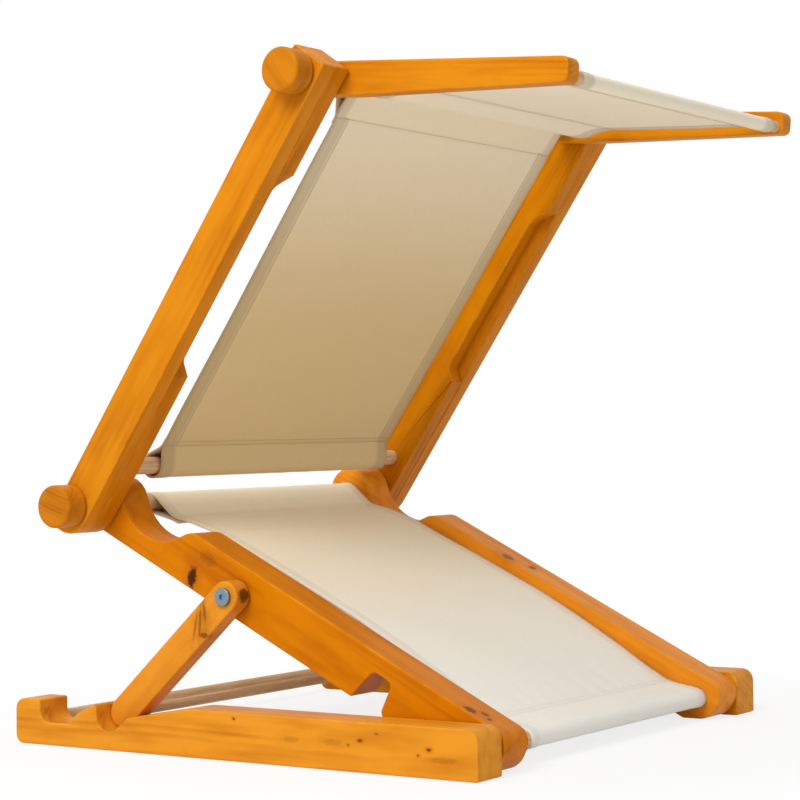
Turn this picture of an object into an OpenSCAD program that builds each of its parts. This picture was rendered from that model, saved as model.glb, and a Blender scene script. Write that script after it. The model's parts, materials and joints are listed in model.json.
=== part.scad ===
// Folding beach lounger of pine: two ground rails, a sling panel propped by two struts, and a
// sun hood with a hinged flap. Millimetres, +Z up, the front edge faces -Y and the width runs
// along X. The origin is on the ground, under the middle of the overall length and width. Clamping
// knobs are on the left, -X, and plain bolts on the right.

/* [Ground frame] */
// Width over the outer faces of the ground rails
base_span = 644; // [560:1:720]
// Thickness of a ground rail
base_rail_t = 48; // [40:1:54]
// Height of a ground rail
base_h = 53; // [51:0.2:60]
// Length of a ground rail ahead of the front hinge
base_front = 27; // [22:0.5:40]
// Length of a ground rail behind the front hinge
base_rear = 605.5; // [600:0.5:640]
// Height of the low rear end of a ground rail
base_tail_h = 51.6; // [50:0.2:55]
// Distance from the front hinge to the start of the ramp
ramp_start = 349; // [320:1:370]
// Height of the foot of the ramp
ramp_end_h = 38; // [34:0.5:42]
// Distance from the front hinge to the strut seat in use
seat_y = 464.5; // [460:0.5:470]
// Height of the centre of the strut seat in use
seat_h = 39.5; // [38:0.5:41]
// Slope of the front of each seat
seat_slope = 38; // [34:1:44]
// Distance between the two strut seats
seat_pitch = 85.5; // [82:0.5:90]
// Height of the floor of the rear seat
rear_seat_floor = 26; // [22:0.5:29]
// Diameter of the cross dowel between the ground rails
cross_dowel_d = 12; // [10:0.5:16]
// Depth of the blind holes for the cross dowel
cross_dowel_depth = 24; // [15:1:34]

/* [Sling panel] */
// Distance from the front hinge to the hood hinge
panel_len = 573; // [560:1:585]
// Tilt of the panel boards at rest
panel_tilt = 26.27; // [25.5:0.05:27]
// Thickness of a panel rail
panel_rail_t = 48; // [40:1:52]
// Height of the top edge above the front hinge
panel_top = 26; // [24:0.5:28]
// Depth of the lower edge under the front hinge
panel_bottom = 32.9; // [28:0.1:34]
// Drop of the hood hinge under the line of the front hinge
hood_hinge_drop = 6.1; // [4:0.1:8]
// Height of the front hinge above the ground
hinge_h = 26; // [26:0.5:30]
// Radius of the round nose at the front hinge
nose_r = 25.7; // [22:0.1:25.8]
// Radius of the round end at the hood hinge
knuckle_r = 31; // [28:0.5:33]
// Distance from the hood hinge to the middle of the dip
dip_back = 72.4; // [68:0.2:78]
// Depth of the dip under the top edge
dip_depth = 34.7; // [28:0.1:37]
// Radius of the shoulder in front of the dip
dip_shoulder_r = 25; // [15:1:32]
// Diameter of the two sling dowels
sling_dowel_d = 20; // [16:0.5:24]
// Length of a sling dowel held in a panel rail
sling_dowel_hold = 26; // [18:1:34]
// Length of the front sling dowel held in a ground rail
hinge_pin_depth = 30; // [20:1:40]
// Gap between the sling and the left panel rail
sling_gap_left = 35; // [1:0.5:40]
// Gap between the sling and the right panel rail
sling_gap_right = 1; // [1:0.5:40]

/* [Struts] */
// Thickness of a strut
strut_t = 24; // [18:0.5:28]
// Width of a strut
strut_w = 35; // [32:0.5:36]
// Distance from the hood hinge to the strut pivot
strut_pivot_back = 224.1; // [220:0.5:228]
// Drop of the strut pivot under the line of the front hinge
strut_pivot_drop = 6.2; // [4:0.1:8]
// Depth of the dowel holes in the struts
strut_dowel_hold = 16; // [10:0.5:18]
// Depth of the notch that takes the strut dowel
stow_depth = 38.4; // [34:0.2:40]
// Diameter of the strut bolt
strut_bolt_d = 8; // [6:0.5:10]

/* [Hood] */
// Distance from the hood hinge to the flap hinge
hood_len = 568; // [556:1:580]
// Angle of the hood above the horizontal at rest
hood_tilt = 55; // [53:0.5:57]
// Thickness of one of the two boards of a hood rail
hood_board_t = 24; // [20:0.5:27]
// Distance from the hinge line to the front edge of a hood rail
hood_front = 27; // [25:0.2:29]
// Distance from the hinge line to the back edge of a hood rail
hood_back = 20.4; // [18:0.2:23]
// Length of a hood rail past the flap hinge
hood_top_over = 25; // [22:0.5:30]
// Length of a hood rail past the hood hinge
hood_low_over = 34.5; // [26:0.5:36]
// Radius of the lower front corner of a hood rail
hood_heel_r = 30; // [20:1:36]
// Depth of the pocket that clears a folded strut
pocket_depth = 16; // [12:0.5:17]
// Distance from the hood hinge to the lower hood dowel
low_dowel_up = 55; // [50:0.5:62]
// Distance of the lower hood dowel in front of the hinge line
low_dowel_fwd = 2; // [0:0.5:5]
// Diameter of the lower hood dowel
low_dowel_d = 20; // [16:0.5:22]
// Length of the lower hood dowel held in a hood rail
low_dowel_hold = 14; // [8:1:18]
// Gap between the edges of the flap cloth and the flap arms
canopy_side_gap = 16.5; // [2:0.5:30]
// Distance that the lower end of the hood cloth has slid toward +X
hood_slide = 15.5; // [0:0.5:34]

/* [Flap] */
// Drop of the flap under the horizontal at rest
flap_droop = 4.6; // [2:0.2:7]
// Length of a flap arm ahead of its hinge
flap_len = 306; // [295:1:335]
// Thickness of a flap arm
arm_t = 24; // [20:0.5:26]
// Radius of the round end of a flap arm
arm_r = 18.9; // [18:0.1:24]
// Distance from the flap hinge to where the lower edge of a flap arm starts to rise
arm_taper_start = 40; // [20:1:80]
// Height of the lower edge of a flap arm's tip under the hinge line
arm_tip_drop = 8.6; // [8:0.1:11]
// Distance from the tip of a flap arm back to the front flap dowel
flap_dowel_inset = 10.5; // [10:0.5:30]
// Diameter of the dowel at the flap hinge
top_dowel_d = 20; // [16:0.5:22]
// Diameter of the front flap dowel
flap_dowel_d = 14; // [10:0.5:14.5]
// Depth of the dowel holes in the flap arms
arm_dowel_hold = 8; // [5:0.5:9]

/* [Knobs and fasteners] */
// Diameter of a clamping knob
knob_d = 48.5; // [38:0.5:54]
// Thickness of a clamping knob's wooden disc
knob_t = 29.5; // [18:0.5:32]
// Thickness of the washer under a knob
knob_washer_t = 2; // [1.5:0.1:5]
// Diameter of the washer under a knob
knob_washer_d = 30; // [24:0.5:36]
// Diameter of the studs and bolts of the hood and flap hinges
stud_d = 8; // [6:0.5:10]
// Length of a stud held in its knob
stud_knob_hold = 16; // [10:0.5:17]
// Diameter of a pivot bolt's head
bolt_head_d = 20; // [16:0.5:22]
// Height of a pivot bolt's head
bolt_head_h = 4.5; // [3.5:0.1:6]
// Width across the flats of a pivot bolt's socket
bolt_key = 6; // [5:0.5:8]
// Outer diameter of a threaded insert
insert_d = 13; // [12:0.5:15]
// Length of a threaded insert in a panel rail
insert_len = 18; // [12:0.5:20]
// Length of a threaded insert in a flap arm
arm_insert_len = 13; // [9:0.5:14]
// Diameter of the friction washers at the hood and flap hinges
washer_d = 30; // [26:0.5:36]
// Diameter of the friction washers at the front hinge
front_washer_d = 36; // [30:0.5:42]
// Diameter of the friction washers at the strut bolts
strut_washer_d = 26; // [20:0.5:32]

/* [Gaps and cloth] */
// Gap between neighbouring rails
side_gap = 3; // [2.4:0.1:5]
// Thickness of the cloth
cloth_t = 1.5; // [1:0.1:2]
// Clearance between a sleeve and its dowel
sleeve_clear = 0.3; // [0.2:0.05:0.5]
// Radial clearance of a turning shaft
run_clear = 0.05; // [0.02:0.01:0.1]
// Clearance between glued or seated pieces
seat_clear = 0.05; // [0.02:0.01:0.1]
// Clearance between a strut's foot and its seat
foot_clear = 0.5; // [0.3:0.1:1]

/* [Hidden] */
$fn = 64;
arc_steps = 12;
corner_steps = 5;
wood = [0.88, 0.58, 0.22];
raw_wood = [0.76, 0.6, 0.48];
canvas = [0.86, 0.83, 0.75];
zinc = [0.66, 0.69, 0.72];
insert_steel = [0.6, 0.57, 0.45];
washer_black = [0.15, 0.15, 0.16];

// Faces of the side-by-side rails, from the outside inwards.
base_out = base_span / 2;
base_in = base_out - base_rail_t;
panel_out = base_in - side_gap;
panel_in = panel_out - panel_rail_t;
hood_in = panel_out + side_gap;
hood_mid = hood_in + hood_board_t;
hood_out = hood_mid + hood_board_t;
arm_out = hood_in - side_gap;
arm_in = arm_out - arm_t;
strut_in = panel_out + side_gap;
strut_out = strut_in + strut_t;
canopy_w = 2 * (arm_in - canopy_side_gap);
knob_in = hood_out + knob_washer_t;

// The knobs stand out on the left only, so the frame's own middle lies right of the overall middle.
middle_shift = (knob_in + knob_t - hood_out - run_clear - bolt_head_h) / 2;
module centred() { translate([middle_shift, 0, 0]) children(); }

// Points on a board are [along, across]; turned() takes them to [y, z] offsets.
function turned(p, a) = [p[0] * cos(a) - p[1] * sin(a), p[0] * sin(a) + p[1] * cos(a)];

// Hinge points as [y, z] offsets from the front hinge, and on the panel board.
hood_hinge_on_panel = [sqrt(panel_len ^ 2 - hood_hinge_drop ^ 2), -hood_hinge_drop];
strut_pivot_on_panel = [hood_hinge_on_panel[0] - strut_pivot_back, -strut_pivot_drop];
hood_turn = 180 - hood_tilt;
flap_turn = 180 + flap_droop;
hood_hinge_rel = turned(hood_hinge_on_panel, panel_tilt);
flap_hinge_rel = hood_hinge_rel + turned([hood_len, 0], hood_turn);
strut_pivot_rel = turned(strut_pivot_on_panel, panel_tilt);
foot_rel = [seat_y, seat_h - hinge_h];

// The front tip of the flap and the rear end of the ground rails set the overall length.
arm_tip_r = 9;
flap_dowel_fwd = flap_len - flap_dowel_inset;
tip_reach = (flap_len - arm_tip_r) * cos(flap_droop) + (arm_r - arm_tip_r) * sin(flap_droop) + arm_tip_r;
front_y = (tip_reach - flap_hinge_rel[0] - base_rear) / 2;
front_hinge = [front_y, hinge_h];
hood_hinge = front_hinge + hood_hinge_rel;
flap_hinge = front_hinge + flap_hinge_rel;
strut_pivot = front_hinge + strut_pivot_rel;

strut_vec = foot_rel - strut_pivot_rel;
strut_len = norm(strut_vec);
strut_turn = atan2(strut_vec[1], strut_vec[0]);
foot_r = strut_w / 2;
seat_r = foot_r + foot_clear;
strut_dowel_d = cross_dowel_d;
stow_u = strut_pivot_on_panel[0] - strut_len;

function unit(v) = v / norm(v);
function heading(v) = atan2(v[1], v[0]);
function short_way(a) = a > 180 ? a - 360 : a < -180 ? a + 360 : a;

// Points along an arc about c from angle a0 to angle a1.
function arc(c, r, a0, a1) =
    [for (i = [0:arc_steps]) let (a = a0 + (a1 - a0) * i / arc_steps) c + r * [cos(a), sin(a)]];

// Points of a corner at q, rounded to radius r, between its neighbours p and s.
function corner(p, q, s, r) =
    let (u = unit(p - q), v = unit(s - q), half = acos(u * v) / 2,
         c = q + unit(u + v) * r / sin(half),
         a0 = heading(q + u * r / tan(half) - c),
         sweep = short_way(heading(q + v * r / tan(half) - c) - a0))
    [for (i = [0:corner_steps]) let (a = a0 + sweep * i / corner_steps) c + r * [cos(a), sin(a)]];

// Closed outline through points [x, y, r], each corner rounded to its own radius r.
function xy(p) = [p[0], p[1]];
function rounded(path) =
    let (n = len(path))
    [for (i = [0:n - 1])
        each path[i][2] > 0
            ? corner(xy(path[(i + n - 1) % n]), xy(path[i]), xy(path[(i + 1) % n]), path[i][2])
            : [xy(path[i])]];

// Places a flat outline drawn as [along, across] on a side board that starts at x.
module upright(x, t) {
    translate([x, 0, 0]) rotate([90, 0, 90]) linear_extrude(t) children();
}
// A straight round bar along X.
module bar(x0, x1, d) {
    translate([x0, 0, 0]) rotate([0, 90, 0]) cylinder(d = d, h = x1 - x0);
}
module at_front_hinge() { translate([0, front_hinge[0], front_hinge[1]]) children(); }
module on_panel() { at_front_hinge() rotate([panel_tilt, 0, 0]) children(); }
module on_hood() { translate([0, hood_hinge[0], hood_hinge[1]]) rotate([hood_turn, 0, 0]) children(); }
module on_flap() { translate([0, flap_hinge[0], flap_hinge[1]]) rotate([flap_turn, 0, 0]) children(); }
module on_strut() { translate([0, strut_pivot[0], strut_pivot[1]]) rotate([strut_turn, 0, 0]) children(); }
module left_side() { mirror([1, 0, 0]) children(); }
module both_sides() {
    children();
    left_side() children();
}

// Ground rail: [distance behind the front hinge, height].
seat_floor = seat_h - seat_r;
seat_wall = seat_y + seat_r;
rear_wall = seat_wall + seat_pitch;
seat_vertex = seat_y - foot_r * tan(seat_slope / 2) - 1;
ramp_end = seat_vertex - (ramp_end_h - seat_floor) / tan(seat_slope);
foot_heel_r = 3;
foot_toe_r = 14;
ramp_top_r = 80;
ramp_foot_r = 10;
tooth_r = 2.5;
ridge_r = 7;
rear_seat_lead_r = 9;
rear_seat_r = 13;
tail_top_r = 12;
tail_low_r = 10;
cross_dowel_at = [(rear_wall + base_rear) / 2 + 3, base_h / 2];
module base_outline() {
    polygon(rounded([
        [-base_front, 0, foot_heel_r], [-base_front, base_h, foot_toe_r],
        [ramp_start, base_h, ramp_top_r], [ramp_end, ramp_end_h, ramp_foot_r],
        [seat_vertex, seat_floor, foot_r], [seat_wall, seat_floor, seat_r - 0.01],
        [seat_wall, base_tail_h, tooth_r],
        [seat_wall + seat_pitch / 3, ramp_end_h + 1, ridge_r],
        [seat_wall + seat_pitch / 2, rear_seat_floor, rear_seat_lead_r],
        [rear_wall, rear_seat_floor, rear_seat_r], [rear_wall, base_tail_h, tooth_r],
        [base_rear, base_tail_h, tail_top_r], [base_rear, 0, tail_low_r]]));
}
module base_rail_right() {
    color(wood) difference() {
        translate([0, front_hinge[0], 0]) upright(base_in, base_rail_t) base_outline();
        at_front_hinge() bar(base_in - 1, base_in + hinge_pin_depth, sling_dowel_d + 2 * run_clear);
        cross_dowel_place() bar(base_in - 1, base_in + cross_dowel_depth, cross_dowel_d + 2 * seat_clear);
    }
}
module base_rail_left() { left_side() base_rail_right(); }
module cross_dowel_place() {
    translate([0, front_hinge[0] + cross_dowel_at[0], cross_dowel_at[1]]) children();
}
module base_cross_dowel() {
    end = base_in + cross_dowel_depth - seat_clear;
    color(raw_wood) cross_dowel_place() bar(-end, end, cross_dowel_d);
}

// Panel rail: nose, foot flat, dowel notch, knuckle, dip and shoulder.
flat_turn = 270 - panel_tilt;
flat_start = nose_r * [cos(flat_turn), sin(flat_turn)];
flat_end = flat_start[0] + (panel_bottom + flat_start[1]) / tan(panel_tilt);
dip_floor = panel_top - dip_depth - hood_hinge_on_panel[1];
dip_r = (dip_back ^ 2 + dip_floor ^ 2 - knuckle_r ^ 2) / (2 * (knuckle_r - dip_floor));
dip_centre = hood_hinge_on_panel + [-dip_back, dip_floor + dip_r];
knuckle_turn = heading(dip_centre - hood_hinge_on_panel);
shoulder_drop = dip_centre[1] - panel_top + dip_shoulder_r;
shoulder_back = sqrt((dip_r + dip_shoulder_r) ^ 2 - shoulder_drop ^ 2);
shoulder_centre = [dip_centre[0] - shoulder_back, panel_top - dip_shoulder_r];
shoulder_turn = heading(dip_centre - shoulder_centre);
knuckle_low = -asin((panel_bottom - hood_hinge_drop) / knuckle_r);
stow_roof = stow_depth - panel_bottom;
stow_front = stow_u - 20;
stow_back = stow_u + 6;
stow_mouth = stow_u + 21;
stow_roof_r = 7;
stow_lip_r = 7.9;
stow_mouth_r = 2;
stow_past = 9;
stow_path = [[stow_front - stow_lip_r - 0.1, -panel_bottom, 0], [stow_front, -panel_bottom, stow_lip_r],
             [stow_front, stow_roof, stow_roof_r], [stow_back, stow_roof, stow_roof_r],
             [stow_mouth, -panel_bottom, stow_mouth_r], [stow_mouth + stow_past, -panel_bottom, 0],
             [stow_mouth + stow_past, -panel_bottom - stow_past, 0],
             [stow_front - stow_lip_r - 0.1, -panel_bottom - stow_past, 0]];
nose_top_r = 18;
module panel_outline() {
    polygon(concat(
        corner([nose_r, panel_top], [-nose_r, panel_top], [-nose_r, 0], nose_top_r),
        arc([0, 0], nose_r, 180, flat_turn),
        [[flat_end, -panel_bottom]],
        arc(hood_hinge_on_panel, knuckle_r, knuckle_low, knuckle_turn),
        arc(dip_centre, dip_r, knuckle_turn - 180, shoulder_turn - 180),
        arc(shoulder_centre, dip_shoulder_r, shoulder_turn, 90)));
}
module panel_cuts() {
    bar(panel_in - 1, panel_out + 1, sling_dowel_d + 2 * seat_clear);
    translate([0, hood_hinge_on_panel[0], hood_hinge_on_panel[1]]) {
        bar(panel_in - 1, panel_in + sling_dowel_hold, sling_dowel_d + 2 * seat_clear);
        bar(panel_out - insert_len, panel_out + 1, insert_d + 2 * seat_clear);
    }
    translate([0, strut_pivot_on_panel[0], strut_pivot_on_panel[1]])
        bar(panel_out - insert_len, panel_out + 1, insert_d + 2 * seat_clear);
}
module panel_rail_right() {
    color(wood) on_panel() difference() {
        upright(panel_in, panel_rail_t) difference() {
            panel_outline();
            polygon(rounded(stow_path));
        }
        panel_cuts();
    }
}
module panel_rail_left() { left_side() panel_rail_right(); }
module sling_dowel_rear() {
    end = panel_in + sling_dowel_hold - seat_clear;
    color(raw_wood) translate([0, hood_hinge[0], hood_hinge[1]]) bar(-end, end, sling_dowel_d);
}
module sling_dowel_front() {
    end = base_in + hinge_pin_depth - run_clear;
    color(raw_wood) at_front_hinge() bar(-end, end, sling_dowel_d);
}
sleeve_t = cloth_t + sleeve_clear;
module ring(d) {
    difference() {
        circle(d = d + 2 * sleeve_t);
        circle(d = d + 2 * sleeve_clear);
    }
}
module sling_cloth() {
    reach = norm(hood_hinge_on_panel);
    color(canvas) at_front_hinge() rotate([heading(hood_hinge_rel), 0, 0])
        upright(sling_gap_left - panel_in, 2 * panel_in - sling_gap_left - sling_gap_right) {
            ring(sling_dowel_d);
            translate([reach, 0]) ring(sling_dowel_d);
            translate([0, sling_dowel_d / 2 + sleeve_clear]) square([reach, cloth_t]);
        }
}
// Distance of a threaded pin's end from the bottom of its insert
pin_back = 2;
module insert_shell(x1, length) {
    difference() {
        bar(x1 - length + seat_clear, x1 - seat_clear, insert_d);
        bar(x1 - length - 1, x1 + 1, stud_d + 2 * run_clear);
    }
}
module strut_inserts() {
    color(insert_steel) both_sides() translate([0, strut_pivot[0], strut_pivot[1]]) difference() {
        bar(panel_out - insert_len + seat_clear, panel_out - seat_clear, insert_d);
        bar(panel_out - insert_len - 1, panel_out + 1, strut_bolt_d + 2 * seat_clear);
    }
}
module hood_hinge_inserts() {
    color(insert_steel) both_sides() translate([0, hood_hinge[0], hood_hinge[1]])
        insert_shell(panel_out, insert_len);
}
module flat_washer(x0, x1, d, hole) {
    difference() {
        bar(x0 + run_clear, x1 - run_clear, d);
        bar(x0 - 1, x1 + 1, hole + 2 * run_clear);
    }
}
module hood_hinge_washers() {
    color(washer_black) both_sides() translate([0, hood_hinge[0], hood_hinge[1]])
        flat_washer(panel_out, hood_in, washer_d, stud_d);
}
module front_hinge_washers() {
    color(washer_black) both_sides() at_front_hinge()
        flat_washer(panel_out, base_in, front_washer_d, sling_dowel_d);
}
module strut_washers() {
    color(washer_black) both_sides() translate([0, strut_pivot[0], strut_pivot[1]])
        flat_washer(panel_out, strut_in, strut_washer_d, strut_bolt_d);
}

// Button-head bolt from x0 outwards, with its head on the face at x1.
module button_bolt(x0, x1, d) {
    head = x1 + run_clear;
    socket_depth = 0.55 * bolt_head_h;
    difference() {
        union() {
            bar(x0, head + 0.5, d);
            bar(head, head + bolt_head_h, bolt_head_d);
        }
        translate([head + bolt_head_h - socket_depth, 0, 0]) rotate([0, 90, 0])
            cylinder(d = bolt_key / cos(30), h = bolt_head_h, $fn = 6);
    }
}
module strut_bolts() {
    color(zinc) both_sides() translate([0, strut_pivot[0], strut_pivot[1]])
        button_bolt(panel_out - insert_len + pin_back, strut_out, strut_bolt_d);
}

// Struts and the dowel that joins their feet.
module strut_right() {
    color(wood) on_strut() difference() {
        upright(strut_in, strut_t) polygon(concat(
            arc([0, 0], strut_w / 2, 90, 270), arc([strut_len, 0], foot_r, -90, 90)));
        bar(strut_in - 1, strut_out + 1, strut_bolt_d + 2 * run_clear);
        translate([0, strut_len, 0])
            bar(strut_in - 1, strut_in + strut_dowel_hold, strut_dowel_d + 2 * seat_clear);
    }
}
module strut_left() { left_side() strut_right(); }
module strut_dowel() {
    end = strut_in + strut_dowel_hold - seat_clear;
    color(raw_wood) on_strut() translate([0, strut_len, 0]) bar(-end, end, strut_dowel_d);
}

// Hood rails: each is an outer and an inner board, and the inner one has a pocket for the strut.
hood_path = [[-hood_low_over, -hood_back, 4], [-hood_low_over, hood_front, hood_heel_r],
             [hood_len + hood_top_over, hood_front, 4], [hood_len + hood_top_over, -hood_back, 4]];
pocket_floor = hood_front - pocket_depth;
pocket_low = strut_pivot_back - strut_w / 2 - 11.5;
pocket_high = strut_pivot_back + strut_len + strut_w / 2 + 17;
pocket_low_run = 12;
pocket_high_run = 25;
pocket_lip_r = 4;
pocket_low_r = 8;
pocket_high_r = 25;
pocket_past = 9;
pocket_path = [[pocket_low - 1, hood_front + 1, 0], [pocket_low, hood_front, pocket_lip_r],
               [pocket_low + pocket_low_run, pocket_floor, pocket_low_r],
               [pocket_high - pocket_high_run, pocket_floor, pocket_high_r],
               [pocket_high, hood_front, pocket_lip_r + 1], [pocket_high + 4, hood_front + 1, 0],
               [pocket_high + 4, hood_front + pocket_past, 0],
               [pocket_low - 1, hood_front + pocket_past, 0]];
module hood_bores() {
    bar(hood_in - 1, hood_out + 1, stud_d + 2 * run_clear);
    translate([0, hood_len, 0]) bar(hood_in - 1, hood_out + 1, stud_d + 2 * run_clear);
}
module hood_outer_board_right() {
    color(wood) on_hood() difference() {
        upright(hood_mid, hood_board_t) polygon(rounded(hood_path));
        hood_bores();
    }
}
module hood_outer_board_left() { left_side() hood_outer_board_right(); }
module hood_inner_board_right() {
    color(wood) on_hood() difference() {
        upright(hood_in, hood_board_t) difference() {
            polygon(rounded(hood_path));
            polygon(rounded(pocket_path));
        }
        hood_bores();
        low_dowel_place() bar(hood_in - 1, hood_in + low_dowel_hold, low_dowel_d + 2 * seat_clear);
    }
}
module hood_inner_board_left() { left_side() hood_inner_board_right(); }
module low_dowel_place() { translate([0, low_dowel_up, low_dowel_fwd]) children(); }
module hood_low_dowel() {
    end = hood_in + low_dowel_hold - seat_clear;
    color(raw_wood) on_hood() low_dowel_place() bar(-end, end, low_dowel_d);
}

// The hood cloth hangs between the lower dowel's sleeve and the sleeve of the flap cloth, in line
// with both dowels, and its middle moves back from the slide on the way up.
module hood_cloth() {
    span = [hood_len - low_dowel_up, -low_dowel_fwd];
    low = (low_dowel_d + sleeve_t) / 2 + sleeve_clear;
    high = norm(span) - top_dowel_d / 2 - sleeve_t - sleeve_clear;
    half = canopy_w / 2;
    color(canvas) on_hood() low_dowel_place() {
        upright(hood_slide - half, canopy_w) ring(low_dowel_d);
        rotate([heading(span), 0, 0]) polyhedron(
            points = [for (end = [[low, hood_slide], [high, 0]])
                      for (v = [-cloth_t / 2, cloth_t / 2])
                      for (side = [-half, half]) [end[1] + side, end[0], v]],
            faces = [[0, 2, 3, 1], [4, 5, 7, 6], [0, 1, 5, 4], [2, 6, 7, 3], [0, 4, 6, 2], [1, 3, 7, 5]]);
    }
}

// Flap arms, dowels and cloth; across is measured downwards here.
arm_chin_r = 8;
module arm_outline() {
    tip = rounded([[0, -arm_r, 0], [0, arm_r, 0], [arm_taper_start, arm_r, 0],
                   [flap_len, arm_tip_drop, arm_chin_r], [flap_len, -arm_r, arm_tip_r]]);
    polygon(concat([for (p = tip) if (p[0] > 1) p], arc([0, 0], arm_r, 270, 90)));
}
module flap_arm_right() {
    color(wood) on_flap() difference() {
        upright(arm_in, arm_t) arm_outline();
        bar(arm_in - 1, arm_in + arm_dowel_hold, top_dowel_d + 2 * seat_clear);
        bar(arm_out - arm_insert_len, arm_out + 1, insert_d + 2 * seat_clear);
        translate([0, flap_dowel_fwd, 0])
            bar(arm_in - 1, arm_in + arm_dowel_hold, flap_dowel_d + 2 * seat_clear);
    }
}
module flap_arm_left() { left_side() flap_arm_right(); }
module flap_hinge_dowel() {
    end = arm_in + arm_dowel_hold - seat_clear;
    color(raw_wood) on_flap() bar(-end, end, top_dowel_d);
}
module flap_front_dowel() {
    end = arm_in + arm_dowel_hold - seat_clear;
    color(raw_wood) on_flap() translate([0, flap_dowel_fwd, 0]) bar(-end, end, flap_dowel_d);
}
module flap_cloth() {
    slope = asin((top_dowel_d - flap_dowel_d) / 2 / flap_dowel_fwd);
    color(canvas) on_flap() rotate([slope, 0, 0]) upright(-canopy_w / 2, canopy_w) {
        ring(top_dowel_d);
        translate(flap_dowel_fwd * [cos(slope), -sin(slope)]) ring(flap_dowel_d);
        translate([0, -top_dowel_d / 2 - sleeve_clear - cloth_t])
            square([flap_dowel_fwd * cos(slope), cloth_t]);
    }
}
module flap_hinge_inserts() {
    color(insert_steel) both_sides() on_flap() insert_shell(arm_out, arm_insert_len);
}
module flap_hinge_washers() {
    color(washer_black) both_sides() on_hood() translate([0, hood_len, 0])
        flat_washer(arm_out, hood_in, washer_d, stud_d);
}

// Pivots of the hood: on the left a clamping knob, which is a turned disc on a threaded stud with a
// washer under it, and on the right a button-head bolt.
knob_round_r = 2.5;
knob_back_bevel = 1;
module knob_disc() {
    color(wood) left_side() translate([knob_in, 0, 0]) rotate([90, 0, 90]) difference() {
        rotate_extrude() polygon(concat(
            [[0, 0], [knob_d / 2 - knob_back_bevel, 0], [knob_d / 2, knob_back_bevel]],
            arc([knob_d / 2 - knob_round_r, knob_t - knob_round_r], knob_round_r, 0, 90), [[0, knob_t]]));
        translate([0, 0, -1]) cylinder(d = stud_d + 2 * seat_clear, h = stud_knob_hold + 1);
    }
}
module knob_washer() {
    color(washer_black) left_side() flat_washer(hood_out, knob_in, knob_washer_d, stud_d);
}
module stud(x0) { color(zinc) left_side() bar(x0, knob_in + stud_knob_hold - seat_clear, stud_d); }
module at_hood_hinge() { translate([0, hood_hinge[0], hood_hinge[1]]) children(); }
module hood_knob() { at_hood_hinge() knob_disc(); }
module hood_stud() { at_hood_hinge() stud(panel_out - insert_len + pin_back); }
module hood_knob_washer() { at_hood_hinge() knob_washer(); }
module hood_bolt() {
    color(zinc) at_hood_hinge() button_bolt(panel_out - insert_len + pin_back, hood_out, stud_d);
}
module flap_knob() { on_flap() knob_disc(); }
module flap_stud() { on_flap() stud(arm_out - arm_insert_len + pin_back); }
module flap_knob_washer() { on_flap() knob_washer(); }
module flap_bolt() {
    color(zinc) on_flap() button_bolt(arm_out - arm_insert_len + pin_back, hood_out, stud_d);
}

centred() base_rail_left();
centred() base_rail_right();
centred() base_cross_dowel();
centred() panel_rail_left();
centred() panel_rail_right();
centred() sling_dowel_rear();
centred() sling_dowel_front();
centred() sling_cloth();
centred() strut_bolts();
centred() strut_washers();
centred() strut_inserts();
centred() hood_hinge_inserts();
centred() hood_hinge_washers();
centred() front_hinge_washers();
centred() strut_left();
centred() strut_right();
centred() strut_dowel();
centred() hood_outer_board_left();
centred() hood_outer_board_right();
centred() hood_inner_board_left();
centred() hood_inner_board_right();
centred() hood_low_dowel();
centred() hood_cloth();
centred() flap_arm_left();
centred() flap_arm_right();
centred() flap_hinge_dowel();
centred() flap_front_dowel();
centred() flap_cloth();
centred() flap_hinge_inserts();
centred() flap_hinge_washers();
centred() hood_knob();
centred() hood_stud();
centred() hood_knob_washer();
centred() hood_bolt();
centred() flap_knob();
centred() flap_stud();
centred() flap_knob_washer();
centred() flap_bolt();
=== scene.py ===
"""Looks of the folding pine beach lounger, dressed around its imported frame.

Lengths are in metres unless a name ends in _mm, angles in degrees, colours in sRGB from 0 to 255.
"""
import json
import logging
import math
from dataclasses import dataclass, field
from enum import Enum
from typing import Callable, ClassVar, Sequence

import bmesh
import bpy
import numpy as np
from mathutils import Matrix, Vector, noise


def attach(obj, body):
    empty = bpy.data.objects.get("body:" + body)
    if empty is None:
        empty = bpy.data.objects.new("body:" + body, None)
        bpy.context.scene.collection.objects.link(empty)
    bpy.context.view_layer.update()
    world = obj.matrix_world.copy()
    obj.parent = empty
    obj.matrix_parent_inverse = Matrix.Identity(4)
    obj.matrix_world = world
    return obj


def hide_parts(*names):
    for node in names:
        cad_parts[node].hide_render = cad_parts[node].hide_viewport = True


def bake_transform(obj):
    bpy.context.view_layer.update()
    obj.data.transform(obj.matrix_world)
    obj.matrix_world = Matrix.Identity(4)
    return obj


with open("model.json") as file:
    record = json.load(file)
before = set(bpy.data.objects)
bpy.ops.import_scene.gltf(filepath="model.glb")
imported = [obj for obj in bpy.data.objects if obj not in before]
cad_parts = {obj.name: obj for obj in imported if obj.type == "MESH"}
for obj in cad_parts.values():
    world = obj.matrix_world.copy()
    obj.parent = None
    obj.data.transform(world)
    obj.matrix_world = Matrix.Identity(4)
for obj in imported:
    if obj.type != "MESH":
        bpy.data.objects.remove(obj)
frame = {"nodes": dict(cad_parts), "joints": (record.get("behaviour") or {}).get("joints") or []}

log = logging.getLogger("lounger")
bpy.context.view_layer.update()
MM = 0.001

Pair = tuple[float, float]
Triple = tuple[float, float, float]
Point = Pair
Colour = Triple
Socket = bpy.types.NodeSocket


class Side(Enum):
    """The two sides of the lounger; the value is the sign of X."""

    LEFT = -1
    RIGHT = 1

    @property
    def word(self) -> str:
        """The end of the side's node names."""
        return self.name.lower()


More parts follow.
